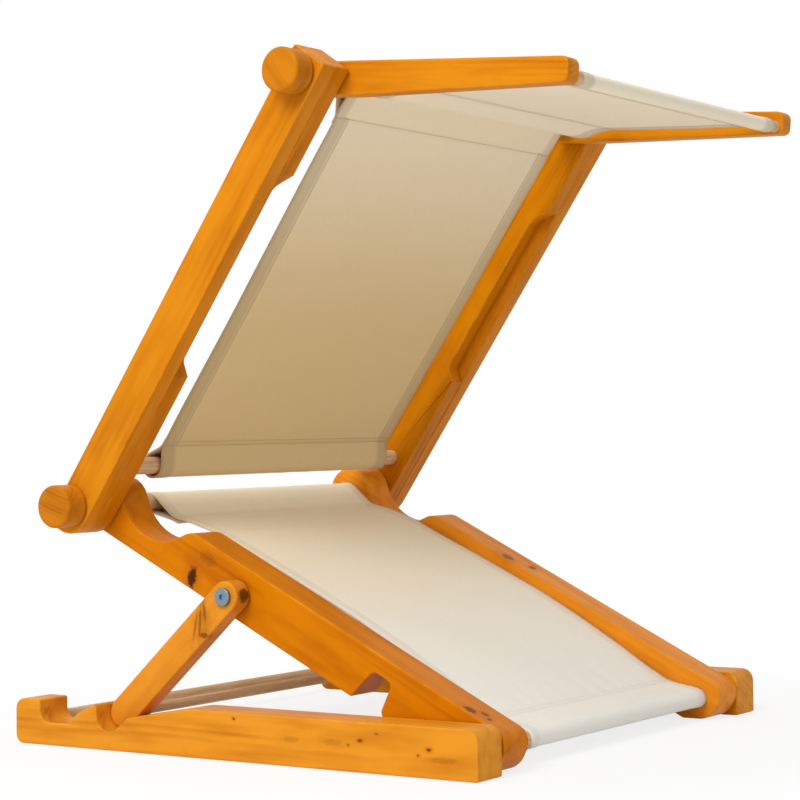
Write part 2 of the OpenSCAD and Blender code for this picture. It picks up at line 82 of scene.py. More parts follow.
class Slot(Enum):
    """The record's material slots."""

    PINE = "varnished_pine"
    RAW = "raw_wood"
    CANVAS = "canvas"
    ZINC = "zinc_steel"
    INSERT = "insert_steel"
    FIBRE = "washer_fibre"


@dataclass(frozen=True)
class Plane:
    """The plane of a sub-assembly's side boards: along runs from its hinge, height is across it."""

    origin: Point
    turn: float
    flip: int = 1

    def place(self, x: float, along: float, height: float) -> Vector:
        """Puts a point of the plane into the model's frame.

        Args:
            x: the point's place across the lounger.
            along, height: its place in the plane.

        Returns:
            The point.
        """
        c, s = math.cos(math.radians(self.turn)), math.sin(math.radians(self.turn))
        up = height * self.flip
        return Vector((x, self.origin[0] + along * c - up * s, self.origin[1] + along * s + up * c))

    def read(self, y: float, z: float) -> Point:
        """Finds a point of the model's frame in the plane.

        Args:
            y, z: the point.

        Returns:
            Its (along, height).
        """
        c, s = math.cos(math.radians(self.turn)), math.sin(math.radians(self.turn))
        dy, dz = y - self.origin[0], z - self.origin[1]
        return dy * c + dz * s, (-dy * s + dz * c) * self.flip


@dataclass(frozen=True)
class Layout:
    """Middle, hinges and planes of the frame, read from its joints."""

    middle: float
    front: Point
    knuckle: Point
    top: Point
    strut: Point
    panel_tilt: float = 26.27
    strut_turn: float = -42.27
    hood_turn: float = 125.0
    flap_turn: float = 184.6

    @classmethod
    def from_joints(cls, joints: Sequence[dict]) -> "Layout":
        """Reads each hinge from its joint.

        Args:
            joints: the record's joints.

        Returns:
            The layout.
        """
        at = {j["name"]: (j["pos_m"][1], j["pos_m"][2]) for j in joints}
        return cls(joints[0]["pos_m"][0], at["recline"], at["hood_tilt"], at["flap_tilt"], at["strut_swing"])

    @property
    def base(self) -> Plane:
        """Ground rails."""
        return Plane(self.front, 0)

    @property
    def panel(self) -> Plane:
        """Panel rails."""
        return Plane(self.front, self.panel_tilt)

    @property
    def sling(self) -> Plane:
        """The line of the two sling dowels."""
        dy, dz = self.knuckle[0] - self.front[0], self.knuckle[1] - self.front[1]
        return Plane(self.front, math.degrees(math.atan2(dz, dy)))

    @property
    def sling_reach(self) -> float:
        """Distance between the two sling dowels."""
        return math.dist(self.front, self.knuckle)

    @property
    def props(self) -> Plane:
        """Struts."""
        return Plane(self.strut, self.strut_turn)

    @property
    def hood(self) -> Plane:
        """Hood rails; height is toward the sling."""
        return Plane(self.knuckle, self.hood_turn)

    @property
    def hood_reach(self) -> float:
        """Distance between the two hinges of the hood."""
        return math.dist(self.knuckle, self.top)

    @property
    def flap(self) -> Plane:
        """Flap arms; height is upwards."""
        return Plane(self.top, self.flap_turn, -1)


# Shader graphs

def linear(red: float, green: float, blue: float) -> tuple[float, float, float, float]:
    """Works out a shader's colour from its sRGB values.

    Args:
        red, green, blue: the colour as it looks on a screen, from 0 to 255.

    Returns:
        The linear colour with full alpha.
    """
    steps = [c / 255 for c in (red, green, blue)]
    return (*(c / 12.92 if c <= 0.04045 else ((c + 0.055) / 1.055) ** 2.4 for c in steps), 1.0)


class Graph:
    """Short calls for the nodes of one shader or geometry tree."""

    def __init__(self, tree: bpy.types.NodeTree) -> None:
        """Starts with the tree as it is."""
        self.tree = tree

    def node(self, kind: str, settings: dict | None = None, **values: object) -> bpy.types.Node:
        """Adds a node.

        Args:
            kind: Blender's name of the node type.
            settings: the node's own properties.
            **values: sockets or plain values, by input name with _ for a blank.

        Returns:
            The node.
        """
        made = self.tree.nodes.new(kind)
        for key, value in (settings or {}).items():
            setattr(made, key, value)
        for key, value in values.items():
            self.feed(made.inputs[key.replace("_", " ")], value)
        return made

    def feed(self, socket: Socket, value: object) -> None:
        """Links an output to the socket, or sets its plain value.

        Args:
            socket: an input.
            value: the output or the value.
        """
        if isinstance(value, Socket):
            self.tree.links.new(value, socket)
        else:
            socket.default_value = value

    def feed_all(self, node: bpy.types.Node, *values: object) -> None:
        """Feeds a node's first inputs in their order."""
        for socket, value in zip(node.inputs, values):
            self.feed(socket, value)

    def math(self, what: str, *values: object, clamp: bool = False) -> Socket:
        """Adds a Math node.

        Args:
            what: the operation.
            *values: its inputs, sockets or numbers.
            clamp: keeps the result between 0 and 1.

        Returns:
            The result.
        """
        made = self.node("ShaderNodeMath", {"operation": what, "use_clamp": clamp})
        self.feed_all(made, *values)
        return made.outputs[0]

    def add(self, a: object, b: object, clamp: bool = False) -> Socket:
        """a plus b."""
        return self.math("ADD", a, b, clamp=clamp)

    def multiply(self, a: object, b: object) -> Socket:
        """a times b."""
        return self.math("MULTIPLY", a, b)

    def rest(self, value: object, clamp: bool = False) -> Socket:
        """1 less the value."""
        return self.math("SUBTRACT", 1.0, value, clamp=clamp)

    def swing(self, value: object, middle: float, gain: object) -> Socket:
        """How far the value is from middle, times gain."""
        return self.multiply(self.math("SUBTRACT", value, middle), gain)

    def vector(self, what: str, a: object, b: object) -> Socket:
        """Adds a Vector Math node of two vectors.

        Args:
            what: the operation.
            a, b: the vectors.

        Returns:
            The resulting vector.
        """
        made = self.node("ShaderNodeVectorMath", {"operation": what})
        self.feed_all(made, a, b)
        return made.outputs["Vector"]

    def length(self, vector: object) -> Socket:
        """The vector's length."""
        return self.node("ShaderNodeVectorMath", {"operation": "LENGTH"}, Vector=vector).outputs["Value"]

    def scaled(self, vector: object, scale: object) -> Socket:
        """The vector times a number."""
        made = self.node("ShaderNodeVectorMath", {"operation": "SCALE"}, Vector=vector, Scale=scale)
        return made.outputs["Vector"]

    def span(self, value: object, low: object, high: object, out_low: float = 0.0,
             out_high: float = 1.0) -> Socket:
        """Turns the value's place between two limits into a smooth step.

        Args:
            value: the value.
            low, high: the limits.
            out_low, out_high: the step's value at and beyond each limit.

        Returns:
            The step's value.
        """
        made = self.node("ShaderNodeMapRange", {"interpolation_type": "SMOOTHSTEP"}, Value=value,
                         From_Min=low, From_Max=high, To_Min=out_low, To_Max=out_high)
        return made.outputs["Result"]

    def mix(self, share: object, a: object, b: object) -> Socket:
        """Mixes two colours.

        Args:
            share: the share of b, from 0 to 1.
            a, b: the colours.

        Returns:
            The mixed colour.
        """
        made = self.node("ShaderNodeMix", {"data_type": "RGBA", "clamp_factor": True})
        for index, value in ((0, share), (6, a), (7, b)):
            self.feed(made.inputs[index], value)
        return made.outputs[2]

    def tint(self, colour: object, mask: object, strength: float, other: object) -> Socket:
        """The colour with another laid over it, by mask times strength."""
        return self.mix(self.multiply(mask, strength), colour, other)

    def noise(self, vector: object, scale: object, detail: float = 2.0, roughness: float = 0.5) -> Socket:
        """The factor of a Noise Texture."""
        return self.node("ShaderNodeTexNoise", Vector=vector, Scale=scale, Detail=detail,
                         Roughness=roughness).outputs["Fac"]

    def bump(self, height: Socket, strength: float, distance: float) -> Socket:
        """The normal of a Bump node."""
        return self.node("ShaderNodeBump", Strength=strength, Distance=distance, Height=height).outputs[0]

    def attribute(self, name: str) -> Socket:
        """The value of a mesh attribute."""
        return self.node("ShaderNodeAttribute", {"attribute_name": name}).outputs["Fac"]

    def place(self) -> Socket:
        """Object coordinates."""
        return self.node("ShaderNodeTexCoord").outputs["Object"]

    def mix_shaders(self, share: object, a: bpy.types.Node, b: bpy.types.Node) -> Socket:
        """Mixes two shaders.

        Args:
            share: the share of b, from 0 to 1.
            a, b: the shaders.

        Returns:
            The mixed shader.
        """
        both = self.node("ShaderNodeMixShader")
        self.feed_all(both, share, a.outputs[0], b.outputs[0])
        return both.outputs[0]

    def use(self, group: bpy.types.NodeTree, **values: object) -> bpy.types.bpy_prop_collection:
        """Places a shared group.

        Args:
            group: the group's tree.
            **values: its inputs, by name with _ for a blank.

        Returns:
            The group node's outputs.
        """
        made = self.tree.nodes.new("ShaderNodeGroup")
        made.node_tree = group
        for key, value in values.items():
            self.feed(made.inputs[key.replace("_", " ")], value)
        return made.outputs


Sockets = dict[str, Socket]


def shared_group(name: str, build: Callable[[Graph, Sockets], Sockets], outputs: Sequence[str],
                 **inputs: float | Triple) -> bpy.types.NodeTree:
    """Makes a shader node group with named inputs and outputs; its first input is Vector.

    Args:
        name: the group's name.
        build: takes the graph and the input sockets by name, and returns the output sockets by name.
        outputs: the names of the outputs, which are plain values.
        **inputs: the default of each further input, by its name with _ for a blank.

    Returns:
        The group's tree.
    """
    tree = bpy.data.node_groups.new(name, "ShaderNodeTree")
    tree.interface.new_socket("Vector", in_out="INPUT", socket_type="NodeSocketVector")
    for key, default in inputs.items():
        kind = "NodeSocketVector" if isinstance(default, tuple) else "NodeSocketFloat"
        made = tree.interface.new_socket(key.replace("_", " "), in_out="INPUT", socket_type=kind)
        made.default_value = default
    for label in outputs:
        tree.interface.new_socket(label, in_out="OUTPUT", socket_type="NodeSocketFloat")
    graph = Graph(tree)
    entry, way_out = graph.node("NodeGroupInput"), graph.node("NodeGroupOutput")
    for label, socket in build(graph, {s.name: s for s in entry.outputs if s.name}).items():
        graph.feed(way_out.inputs[label], socket)
    return tree


class SharedEffects:
    """The node groups that more than one finish uses."""

    def __init__(self) -> None:
        """Builds each group once."""
        self.grain = shared_group("pine_grain", self._grain, ("Late Wood", "Fibre", "Mottle"),
                                  Pith=(0.0, 0.0, -0.1), Ring_Width=0.006, Wobble=0.012, Seed=0.0)
        self.knot = shared_group("knot", self._knot, ("Core", "Halo"), Centre=(0.0, 0.0, 0.0), Radius=0.008,
                                 Through=0.3, Squeeze=0.72, Skew=0.0)
        self.edge_wear = shared_group("edge_wear", self._wear, ("Mask",), Patchiness=60.0)
        self.weave = shared_group("weave", self._weave, ("Height", "Gaps"), Thread_Pitch=0.0007)
        self.slub = shared_group("slub", self._slub, ("Tone",), Density=220.0)
        self.dust = shared_group("dust", self._dust, ("Mask",), Patch_Size=0.05)

    @staticmethod
    def _grain(g: Graph, i: Sockets) -> Sockets:
        """Year rings round a pith that runs along the board, with fibres and slow changes of tone.

        Args:
            g: the group's graph.
            i: its inputs.

        Returns:
            The rings' late wood, the fibres and the mottle.
        """
        shift = g.scaled((7.3, 3.1, 5.7), i["Seed"])

        def streaks(stretch: Triple, detail: float, roughness: float = 0.5) -> Socket:
            """Noise that changes by stretch per metre, each way."""
            drawn_out = g.vector("MULTIPLY", i["Vector"], stretch)
            return g.noise(g.vector("ADD", drawn_out, shift), 1.0, detail, roughness)

        warp = g.swing(streaks((9.0, 2.2, 9.0), 2.0, 0.45), 0.5, i["Wobble"])
        across = g.vector("MULTIPLY", g.vector("SUBTRACT", i["Vector"], i["Pith"]), (1.0, 0.0, 1.0))
        phase = g.math("DIVIDE", g.add(g.length(across), warp), i["Ring Width"])
        step = g.math("FRACT", phase)
        line = g.multiply(g.span(step, 0.1, 0.7), g.rest(g.span(step, 0.72, 1.0)))
        chance = g.node("ShaderNodeTexWhiteNoise", {"noise_dimensions": "1D"},
                        W=g.add(g.math("FLOOR", phase), i["Seed"])).outputs["Value"]
        late = g.multiply(line, g.span(chance, 0.0, 1.0, 0.1, 1.0))
        return {"Late Wood": g.multiply(late, g.span(streaks((26.0, 7.0, 26.0), 1.0), 0.38, 0.62)),
                "Fibre": streaks((420.0, 9.0, 420.0), 3.0, 0.6),
                "Mottle": streaks((56.0, 9.0, 56.0), 2.5)}

    @staticmethod
    def _knot(g: Graph, i: Sockets) -> Sockets:
        """A knot that runs through the board: a dark core and a softer halo drawn out along the grain.

        Args:
            g: the group's graph.
            i: its inputs.

        Returns:
            The masks of the core and the halo.
        """
        part = g.node("ShaderNodeSeparateXYZ", Vector=g.vector("SUBTRACT", i["Vector"], i["Centre"])).outputs
        skewed = g.math("MULTIPLY_ADD", part[2], i["Skew"], part[1])
        away = g.node("ShaderNodeCombineXYZ", X=part[0], Y=skewed, Z=part[2]).outputs[0]
        shape = g.node("ShaderNodeCombineXYZ", X=i["Through"], Y=i["Squeeze"], Z=1.0).outputs[0]
        ragged = g.swing(g.noise(i["Vector"], 330.0, 3.0), 0.5, 0.9)
        reach = g.math("DIVIDE", g.length(g.vector("MULTIPLY", away, shape)), i["Radius"])
        reach = g.add(reach, ragged)
        return {"Core": g.rest(g.span(reach, 0.55, 1.0)), "Halo": g.rest(g.span(reach, 0.8, 2.6))}

    @staticmethod
    def _wear(g: Graph, i: Sockets) -> Sockets:
        """Rounded edges where the varnish is thin, which also carry a painted highlight, broken up by noise.
        """
        patches = g.span(g.noise(i["Vector"], i["Patchiness"], 3.0), 0.35, 0.7)
        return {"Mask": g.multiply(g.attribute("edge_round"), patches)}

    @staticmethod
    def _weave(g: Graph, i: Sockets) -> Sockets:
        """Plain weave on the UV map in metres.

        Args:
            g: the group's graph.
            i: its inputs.

        Returns:
            The height of the threads and the mask of the gaps between them.
        """
        part = g.node("ShaderNodeSeparateXYZ", Vector=i["Vector"]).outputs
        warp, weft = (g.math("SINE", g.math("DIVIDE", g.multiply(part[k], math.pi), i["Thread Pitch"]))
                      for k in (0, 1))
        over = g.math("GREATER_THAN", g.multiply(warp, weft), 0.0)
        tall, wide = g.math("ABSOLUTE", warp), g.math("ABSOLUTE", weft)
        return {"Height": g.add(g.multiply(over, tall), g.multiply(g.rest(over), wide)),
                "Gaps": g.rest(g.math("MAXIMUM", tall, wide), clamp=True)}

    @staticmethod
    def _slub(g: Graph, i: Sockets) -> Sockets:
        """Uneven threads, both ways."""
        warp, weft = (g.noise(g.vector("MULTIPLY", i["Vector"], stretch), i["Density"], 1.0)
                      for stretch in ((8.0, 0.35, 1.0), (0.35, 8.0, 1.0)))
        return {"Tone": g.multiply(g.add(warp, weft), 0.5)}

    @staticmethod
    def _dust(g: Graph, i: Sockets) -> Sockets:
        """Soft patches of dust and handling marks."""
        cloud = g.noise(i["Vector"], g.math("DIVIDE", 1.0, i["Patch Size"]), 4.0, 0.6)
        return {"Mask": g.span(cloud, 0.52, 0.78)}


EFFECTS = SharedEffects()


# Finishes

@dataclass(frozen=True)
class Finish:
    """A finish of the lounger; each kind feeds its own shader."""

    name: str

    def material(self) -> bpy.types.Material:
        """Makes the material.

        Returns:
            The material, with its shader fed.
        """
        material = bpy.data.materials.new(self.name)
        material.use_nodes = True
        material.node_tree.nodes.clear()
        g = Graph(material.node_tree)
        shader = g.node("ShaderNodeBsdfPrincipled")
        g.node("ShaderNodeOutputMaterial", Surface=shader.outputs[0])
        for label, value in self.surface(g).items():
            g.feed(shader.inputs[label], value)
        return material

    def surface(self, g: Graph) -> dict[str, object]:
        """What feeds the shader, by the names of its inputs."""
        raise NotImplementedError


@dataclass(frozen=True)
class Knot:
    """A knot or mark of a board: depth counts from the middle, along and across lie on the board's plane."""

    depth_mm: float
    along_mm: float
    across_mm: float
    radius_mm: float
    dark: float = 0.8
    through: float = 0.3
    squeeze: float = 0.72
    skew: float = 0.0

    HALO: ClassVar[Colour] = (176, 88, 20)
    CORE: ClassVar[Colour] = (74, 34, 8)
    HALO_SHARE: ClassVar[float] = 0.45

    def mark(self, g: Graph, board: Socket, colour: Socket) -> Socket:
        """Lays the knot over a board's colour.

        Args:
            g: the board's graph.
            board: coordinates in the board's plane.
            colour: the colour so far.

        Returns:
            The colour with the knot.
        """
        centre = tuple(part * MM for part in (self.depth_mm, self.along_mm, self.across_mm))
        masks = g.use(EFFECTS.knot, Vector=board, Radius=self.radius_mm * MM, Through=self.through,
                      Squeeze=self.squeeze, Skew=self.skew, Centre=centre)
        colour = g.tint(colour, masks["Halo"], self.HALO_SHARE * self.dark, linear(*self.HALO))
        return g.tint(colour, masks["Core"], self.dark, linear(*self.CORE))


@dataclass(frozen=True)
class Tones:
    """The two colours between which a board's grain varies."""

    pale: Colour = (214, 133, 20)
    deep: Colour = (176, 88, 0)


@dataclass(frozen=True)
class VarnishedPine(Finish):
    """Honey-coloured satin varnish over pine, with the rings of one board."""

    middle: float
    plane: Plane
    seed: float
    pith_mm: Pair
    ring_mm: float
    wobble_mm: float = 14.0
    knots: tuple[Knot, ...] = ()
    tones: Tones = Tones()
    late_wood: float = 0.38
    mottle: float = 1.5
    fibre: float = 0.28
    worn: float = 0.3
    dusty: float = 0.25
    roughness: float = 0.46
    fibre_roughness: float = 0.16

    WORN: ClassVar[Colour] = (240, 165, 60)
    DUSTY: ClassVar[Colour] = (176, 92, 12)

    def surface(self, g: Graph) -> dict[str, object]:
        """Grain, knots, worn edges with a painted highlight, and dust, on Object coordinates turned into the
        board's plane.

        Args:
            g: the material's graph.

        Returns:
            What feeds the shader.
        """
        where = g.place()
        board = g.node("ShaderNodeMapping", {"vector_type": "TEXTURE"}, Vector=where,
                       Location=(self.middle, *self.plane.origin),
                       Rotation=(math.radians(self.plane.turn), 0.0, 0.0)).outputs[0]
        grain = g.use(EFFECTS.grain, Vector=board, Pith=(self.pith_mm[0] * MM, 0.0, self.pith_mm[1] * MM),
                      Ring_Width=self.ring_mm * MM, Wobble=self.wobble_mm * MM, Seed=self.seed)
        rings = g.multiply(grain["Late Wood"], self.late_wood)
        tone = g.add(rings, g.swing(grain["Mottle"], 0.42, self.mottle))
        tone = g.add(tone, g.swing(grain["Fibre"], 0.5, self.fibre), clamp=True)
        colour = g.mix(tone, linear(*self.tones.pale), linear(*self.tones.deep))
        for knot in self.knots:
            colour = knot.mark(g, board, colour)
        # Lighter rounded edges: worn varnish and a painted highlight.
        colour = g.tint(colour, g.use(EFFECTS.edge_wear, Vector=where)[0], self.worn, linear(*self.WORN))
        dust = g.use(EFFECTS.dust, Vector=where, Patch_Size=0.06)[0]
        colour = g.tint(colour, dust, self.dusty, linear(*self.DUSTY))
        return {"Base Color": colour,
                "Roughness": g.add(self.roughness, g.swing(grain["Fibre"], 0.5, self.fibre_roughness)),
                "Normal": g.bump(tone, strength=0.12, distance=0.0004),
                "Specular IOR Level": 0.12,
                "Specular Tint": (1.0, 0.62, 0.16, 1.0)}


@dataclass(frozen=True)
class RawWood(Finish):
    """Bare, sanded dowels."""

    pale: Colour = (222, 185, 142)
    deep: Colour = (196, 150, 104)
    dusty: Colour = (220, 195, 170)

    def surface(self, g: Graph) -> dict[str, object]:
        """Fine fibres and pores that run along the dowel.

        Args:
            g: the material's graph.

        Returns:
            What feeds the shader.
        """
        where = g.place()
        fibre = g.noise(g.vector("MULTIPLY", where, (14.0, 500.0, 500.0)), 1.0, 3.0, 0.6)
        pore = g.noise(g.vector("MULTIPLY", where, (60.0, 1400.0, 1400.0)), 1.0, 2.0)
        tone = g.add(g.multiply(fibre, 0.7), g.multiply(pore, 0.3))
        colour = g.mix(g.span(tone, 0.3, 0.7), linear(*self.pale), linear(*self.deep))
        dust = g.use(EFFECTS.dust, Vector=where, Patch_Size=0.04)[0]
        return {"Base Color": g.tint(colour, dust, 0.2, linear(*self.dusty)),
                "Roughness": g.span(tone, 0.2, 0.8, 0.62, 0.8),
                "Normal": g.bump(tone, strength=0.2, distance=0.0003)}


@dataclass(frozen=True)
class Canvas(Finish):
    """Undyed canvas that is paler toward one end, partly from sun bleaching and partly as painted light, with
    painted shade on its hem of two layers and in the gaps of its weave.
    """

    body: Colour
    bleached: Colour
    bleach_run: Pair
    hem_dark: float = 0.3
    pitch_mm: float = 0.75
    gap_dark: float = 0.35
    slub_dark: float = 0.14
    dusty: float = 0.06

    SHADE: ClassVar[Colour] = (150, 128, 92)
    DUSTY: ClassVar[Colour] = (200, 180, 150)

    def surface(self, g: Graph) -> dict[str, object]:
        """Weave and slubs on the UV map in metres; the attribute hem marks the doubled cloth, which gets
        painted shade.

        Args:
            g: the material's graph.

        Returns:
            What feeds the shader.
        """
        thread = g.node("ShaderNodeUVMap", {"uv_map": "cloth"}).outputs[0]
        weave = g.use(EFFECTS.weave, Vector=thread, Thread_Pitch=self.pitch_mm * MM)
        slub = g.use(EFFECTS.slub, Vector=thread, Density=220.0)[0]
        along = g.node("ShaderNodeSeparateXYZ", Vector=thread).outputs["Y"]
        # Paler toward one end: sun bleaching and painted light. On the canopy, the darker, yellower hood end
        # is painted shade with warm bounce light.
        colour = g.mix(g.span(along, *self.bleach_run), linear(*self.body), linear(*self.bleached))
        shade = g.mix(0.5, colour, linear(*self.SHADE))
        # Painted shade on the doubled hem.
        colour = g.tint(colour, g.attribute("hem"), self.hem_dark, shade)
        # Painted shade in the gaps between the threads.
        colour = g.tint(colour, weave["Gaps"], self.gap_dark, shade)
        colour = g.mix(g.span(slub, 0.35, 0.65, 0.0, self.slub_dark), colour, shade)
        dust = g.use(EFFECTS.dust, Vector=thread, Patch_Size=0.12)[0]
        return {"Base Color": g.tint(colour, dust, self.dusty, linear(*self.DUSTY)),
                "Normal": g.bump(g.add(weave["Height"], slub), strength=0.35, distance=0.0002),
                "Roughness": 0.92,
                "Specular IOR Level": 0.2,
                "Sheen Weight": 0.12}


@dataclass(frozen=True)
class Thread(Finish):
    """Sewing thread, a little browner than the canvas."""

    colour: Colour
    lighter: float = 24.0

    def surface(self, g: Graph) -> dict[str, object]:
        """Matt thread with a slow change of tone."""
        pale = tuple(c + self.lighter for c in self.colour)
        return {"Base Color": g.mix(g.noise(g.place(), 300.0), linear(*self.colour), linear(*pale)),
                "Roughness": 0.8}


@dataclass(frozen=True)
class Metal(Finish):
    """Plated steel with fine turning marks, or fibre where metallic is 0."""

    colour: Colour
    roughness: float
    metallic: float = 1.0

    def surface(self, g: Graph) -> dict[str, object]:
        """A surface whose roughness varies in fine patches.

        Args:
            g: the material's graph.

        Returns:
            What feeds the shader.
        """
        where = g.place()
        dull = tuple(c * 0.8 for c in self.colour)
        dust = g.use(EFFECTS.dust, Vector=where, Patch_Size=0.01)[0]
        patches = g.span(g.noise(where, 900.0, 3.0), 0.3, 0.7, self.roughness - 0.06, self.roughness + 0.08)
        return {"Base Color": g.mix(dust, linear(*self.colour), linear(*dull)),
                "Roughness": patches,
                "Metallic": self.metallic}


# Meshes

SHARP_EDGE = 35.0
SHARP_TURNED_EDGE = 40.0
MERGE_DISTANCE = 1e-5
FLAT_ANGLE = 1.0


def add_object(name: str, mesh: bpy.types.Mesh) -> bpy.types.Object:
    """Links a mesh as a new object at the origin.

    Args:
        name: the piece's name.
        mesh: its mesh, in the model's frame.

    Returns:
        The object.
    """
    made = bpy.data.objects.new(name, mesh)
    bpy.context.scene.collection.objects.link(made)
    return made


def sharp_loops(bm: bmesh.types.BMesh, least: float) -> list[bmesh.types.BMEdge]:
    """Finds sharp edges that join into outlines of at least a given size.

    Args:
        bm: the merged mesh.
        least: smallest size of an outline in the YZ plane.

    Returns:
        The edges.
    """
    left = {e for e in bm.edges
            if len(e.link_faces) == 2 and math.degrees(e.calc_face_angle(0)) > SHARP_EDGE}
    chosen = []
    while left:
        group, queue = [], [left.pop()]
        while queue:
            edge = queue.pop()
            group.append(edge)
            for vert in edge.verts:
                for other in vert.link_edges:
                    if other in left:
                        left.discard(other)
                        queue.append(other)
        points = np.array([v.co for e in group for v in e.verts])[:, 1:]
        if (points.max(0) - points.min(0)).max() >= least:
            chosen += group
    return chosen


def eased_copy(node: str, radius: float, least: float, segments: int = 3) -> bpy.types.Object:
    """Copies a CAD node with its sharp outlines rounded; the copy stands for the node.

    Args:
        node: the CAD node.
        radius: radius of the rounded edges.
        least: outlines smaller than this, such as bores, stay sharp.
        segments: steps of a rounded edge.

    Returns:
        The copy, with the point attribute edge_round on its rounded edges.
    """
    mesh = frame["nodes"][node].data.copy()
    bm = bmesh.new()
    bm.from_mesh(mesh)
    bmesh.ops.remove_doubles(bm, verts=bm.verts, dist=MERGE_DISTANCE)
    bmesh.ops.dissolve_limit(bm, angle_limit=math.radians(FLAT_ANGLE), verts=bm.verts, edges=bm.edges)
    made = bmesh.ops.bevel(bm, geom=sharp_loops(bm, least), offset=radius, offset_type="OFFSET",
                           segments=segments, profile=0.5, affect="EDGES", clamp_overlap=False)
    rounds = set(made["faces"])
    layer = bm.verts.layers.float.new("edge_round")
    for vert in {v for f in rounds for v in f.verts}:
        vert[layer] = float(all(f in rounds for f in vert.link_faces))
    bmesh.ops.recalc_face_normals(bm, faces=bm.faces)
    bm.to_mesh(mesh)
    bm.free()
    mesh.shade_smooth()
    mesh.set_sharp_from_angle(angle=math.radians(SHARP_EDGE))
    piece = add_object(node + "_dressed", mesh)
    weighted = piece.modifiers.new("even_shading", "WEIGHTED_NORMAL")
    weighted.keep_sharp = True
    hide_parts(node)
    return piece


def dress(piece: bpy.types.Object, material: bpy.types.Material, body: str | None) -> None:
    """Gives a finished piece its material and body.

    Args:
        piece: the piece, in place.
        material: its finish.
        body: the body it rides on; None leaves the piece on no body.
    """
    piece.data.materials.clear()
    piece.data.materials.append(material)
    piece.data.polygons.foreach_set("material_index", [0] * len(piece.data.polygons))
    if body:
        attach(piece, body)
    log.info("%s: %d faces on %s", piece.name, len(piece.data.polygons), body or "two bodies")


def finish_nodes(nodes: Sequence[str], finish: Finish) -> None:
    """Finishes CAD nodes that are shown as they are.

    Args:
        nodes: the CAD nodes.
        finish: their finish.
    """
    material = finish.material()
    for node in nodes:
        piece = frame["nodes"][node]
        piece.data.materials.clear()
        piece.data.materials.append(material)
        log.info("%s: shown as built", node)


def turned_piece(name: str, profile: Sequence[Point], centre: Point, steps: int = 72) -> bpy.types.Object:
    """Makes a piece turned on a lathe, with its axis along X.

    Args:
        name: the piece's name.
        profile: (x, radius) pairs, closed where the radius is 0.
        centre: (y, z) of the axis.
        steps: facets of a full turn.

    Returns:
        The object.
    """
    bm = bmesh.new()
    rings = []
    for x, radius in profile:
        count = steps if radius > 0 else 1
        turns = [math.tau * k / steps for k in range(count)]
        rings.append([bm.verts.new((x, centre[0] + radius * math.cos(a), centre[1] + radius * math.sin(a)))
                      for a in turns])
    for a, b in zip(rings, rings[1:]):
        for k in range(steps):
            corners = [a[k % len(a)], a[(k + 1) % len(a)], b[(k + 1) % len(b)], b[k % len(b)]]
            corners = list(dict.fromkeys(corners))
            if len(corners) > 2:
                bm.faces.new(corners)
    bmesh.ops.recalc_face_normals(bm, faces=bm.faces)
    mesh = bpy.data.meshes.new(name)
    bm.to_mesh(mesh)
    bm.free()
    mesh.shade_smooth()
    mesh.set_sharp_from_angle(angle=math.radians(SHARP_TURNED_EDGE))
    return add_object(name, mesh)


# Wooden sub-assemblies

@dataclass
class SideBoards:
    """A pair of side boards of one sub-assembly and the boards' wood, whose right board may take paler tones
    as painted light.
    """

    stem: str
    body: str
    plane: Plane
    seed: float
    pith_mm: Pair
    ring_mm: float
    tones: Tones = Tones()
    far_tones: Tones | None = None
    edge_mm: float = 2.2
    knots: dict[Side, tuple[Knot, ...]] = field(default_factory=dict)

    SMALLEST_OUTLINE: ClassVar[float] = 0.04
    SEED_STEP: ClassVar[float] = 0.37

    def build(self, middle: float) -> None:
        """Rounds and dresses the left and the right board.

        Args:
            middle: X of the frame's own middle.
        """
        for side in Side:
            node = f"{self.stem}_{side.word}"
            # The right board may take paler tones, painted light on that side.
            tones = self.far_tones if side is Side.RIGHT and self.far_tones else self.tones
            wood = VarnishedPine("pine_" + node, middle, self.plane, self.seed + side.value * self.SEED_STEP,
                                 (side.value * self.pith_mm[0], self.pith_mm[1]), self.ring_mm,
                                 knots=self.knots.get(side, ()), tones=tones)
            board = eased_copy(node, self.edge_mm * MM, self.SMALLEST_OUTLINE)
            dress(board, wood.material(), self.body)


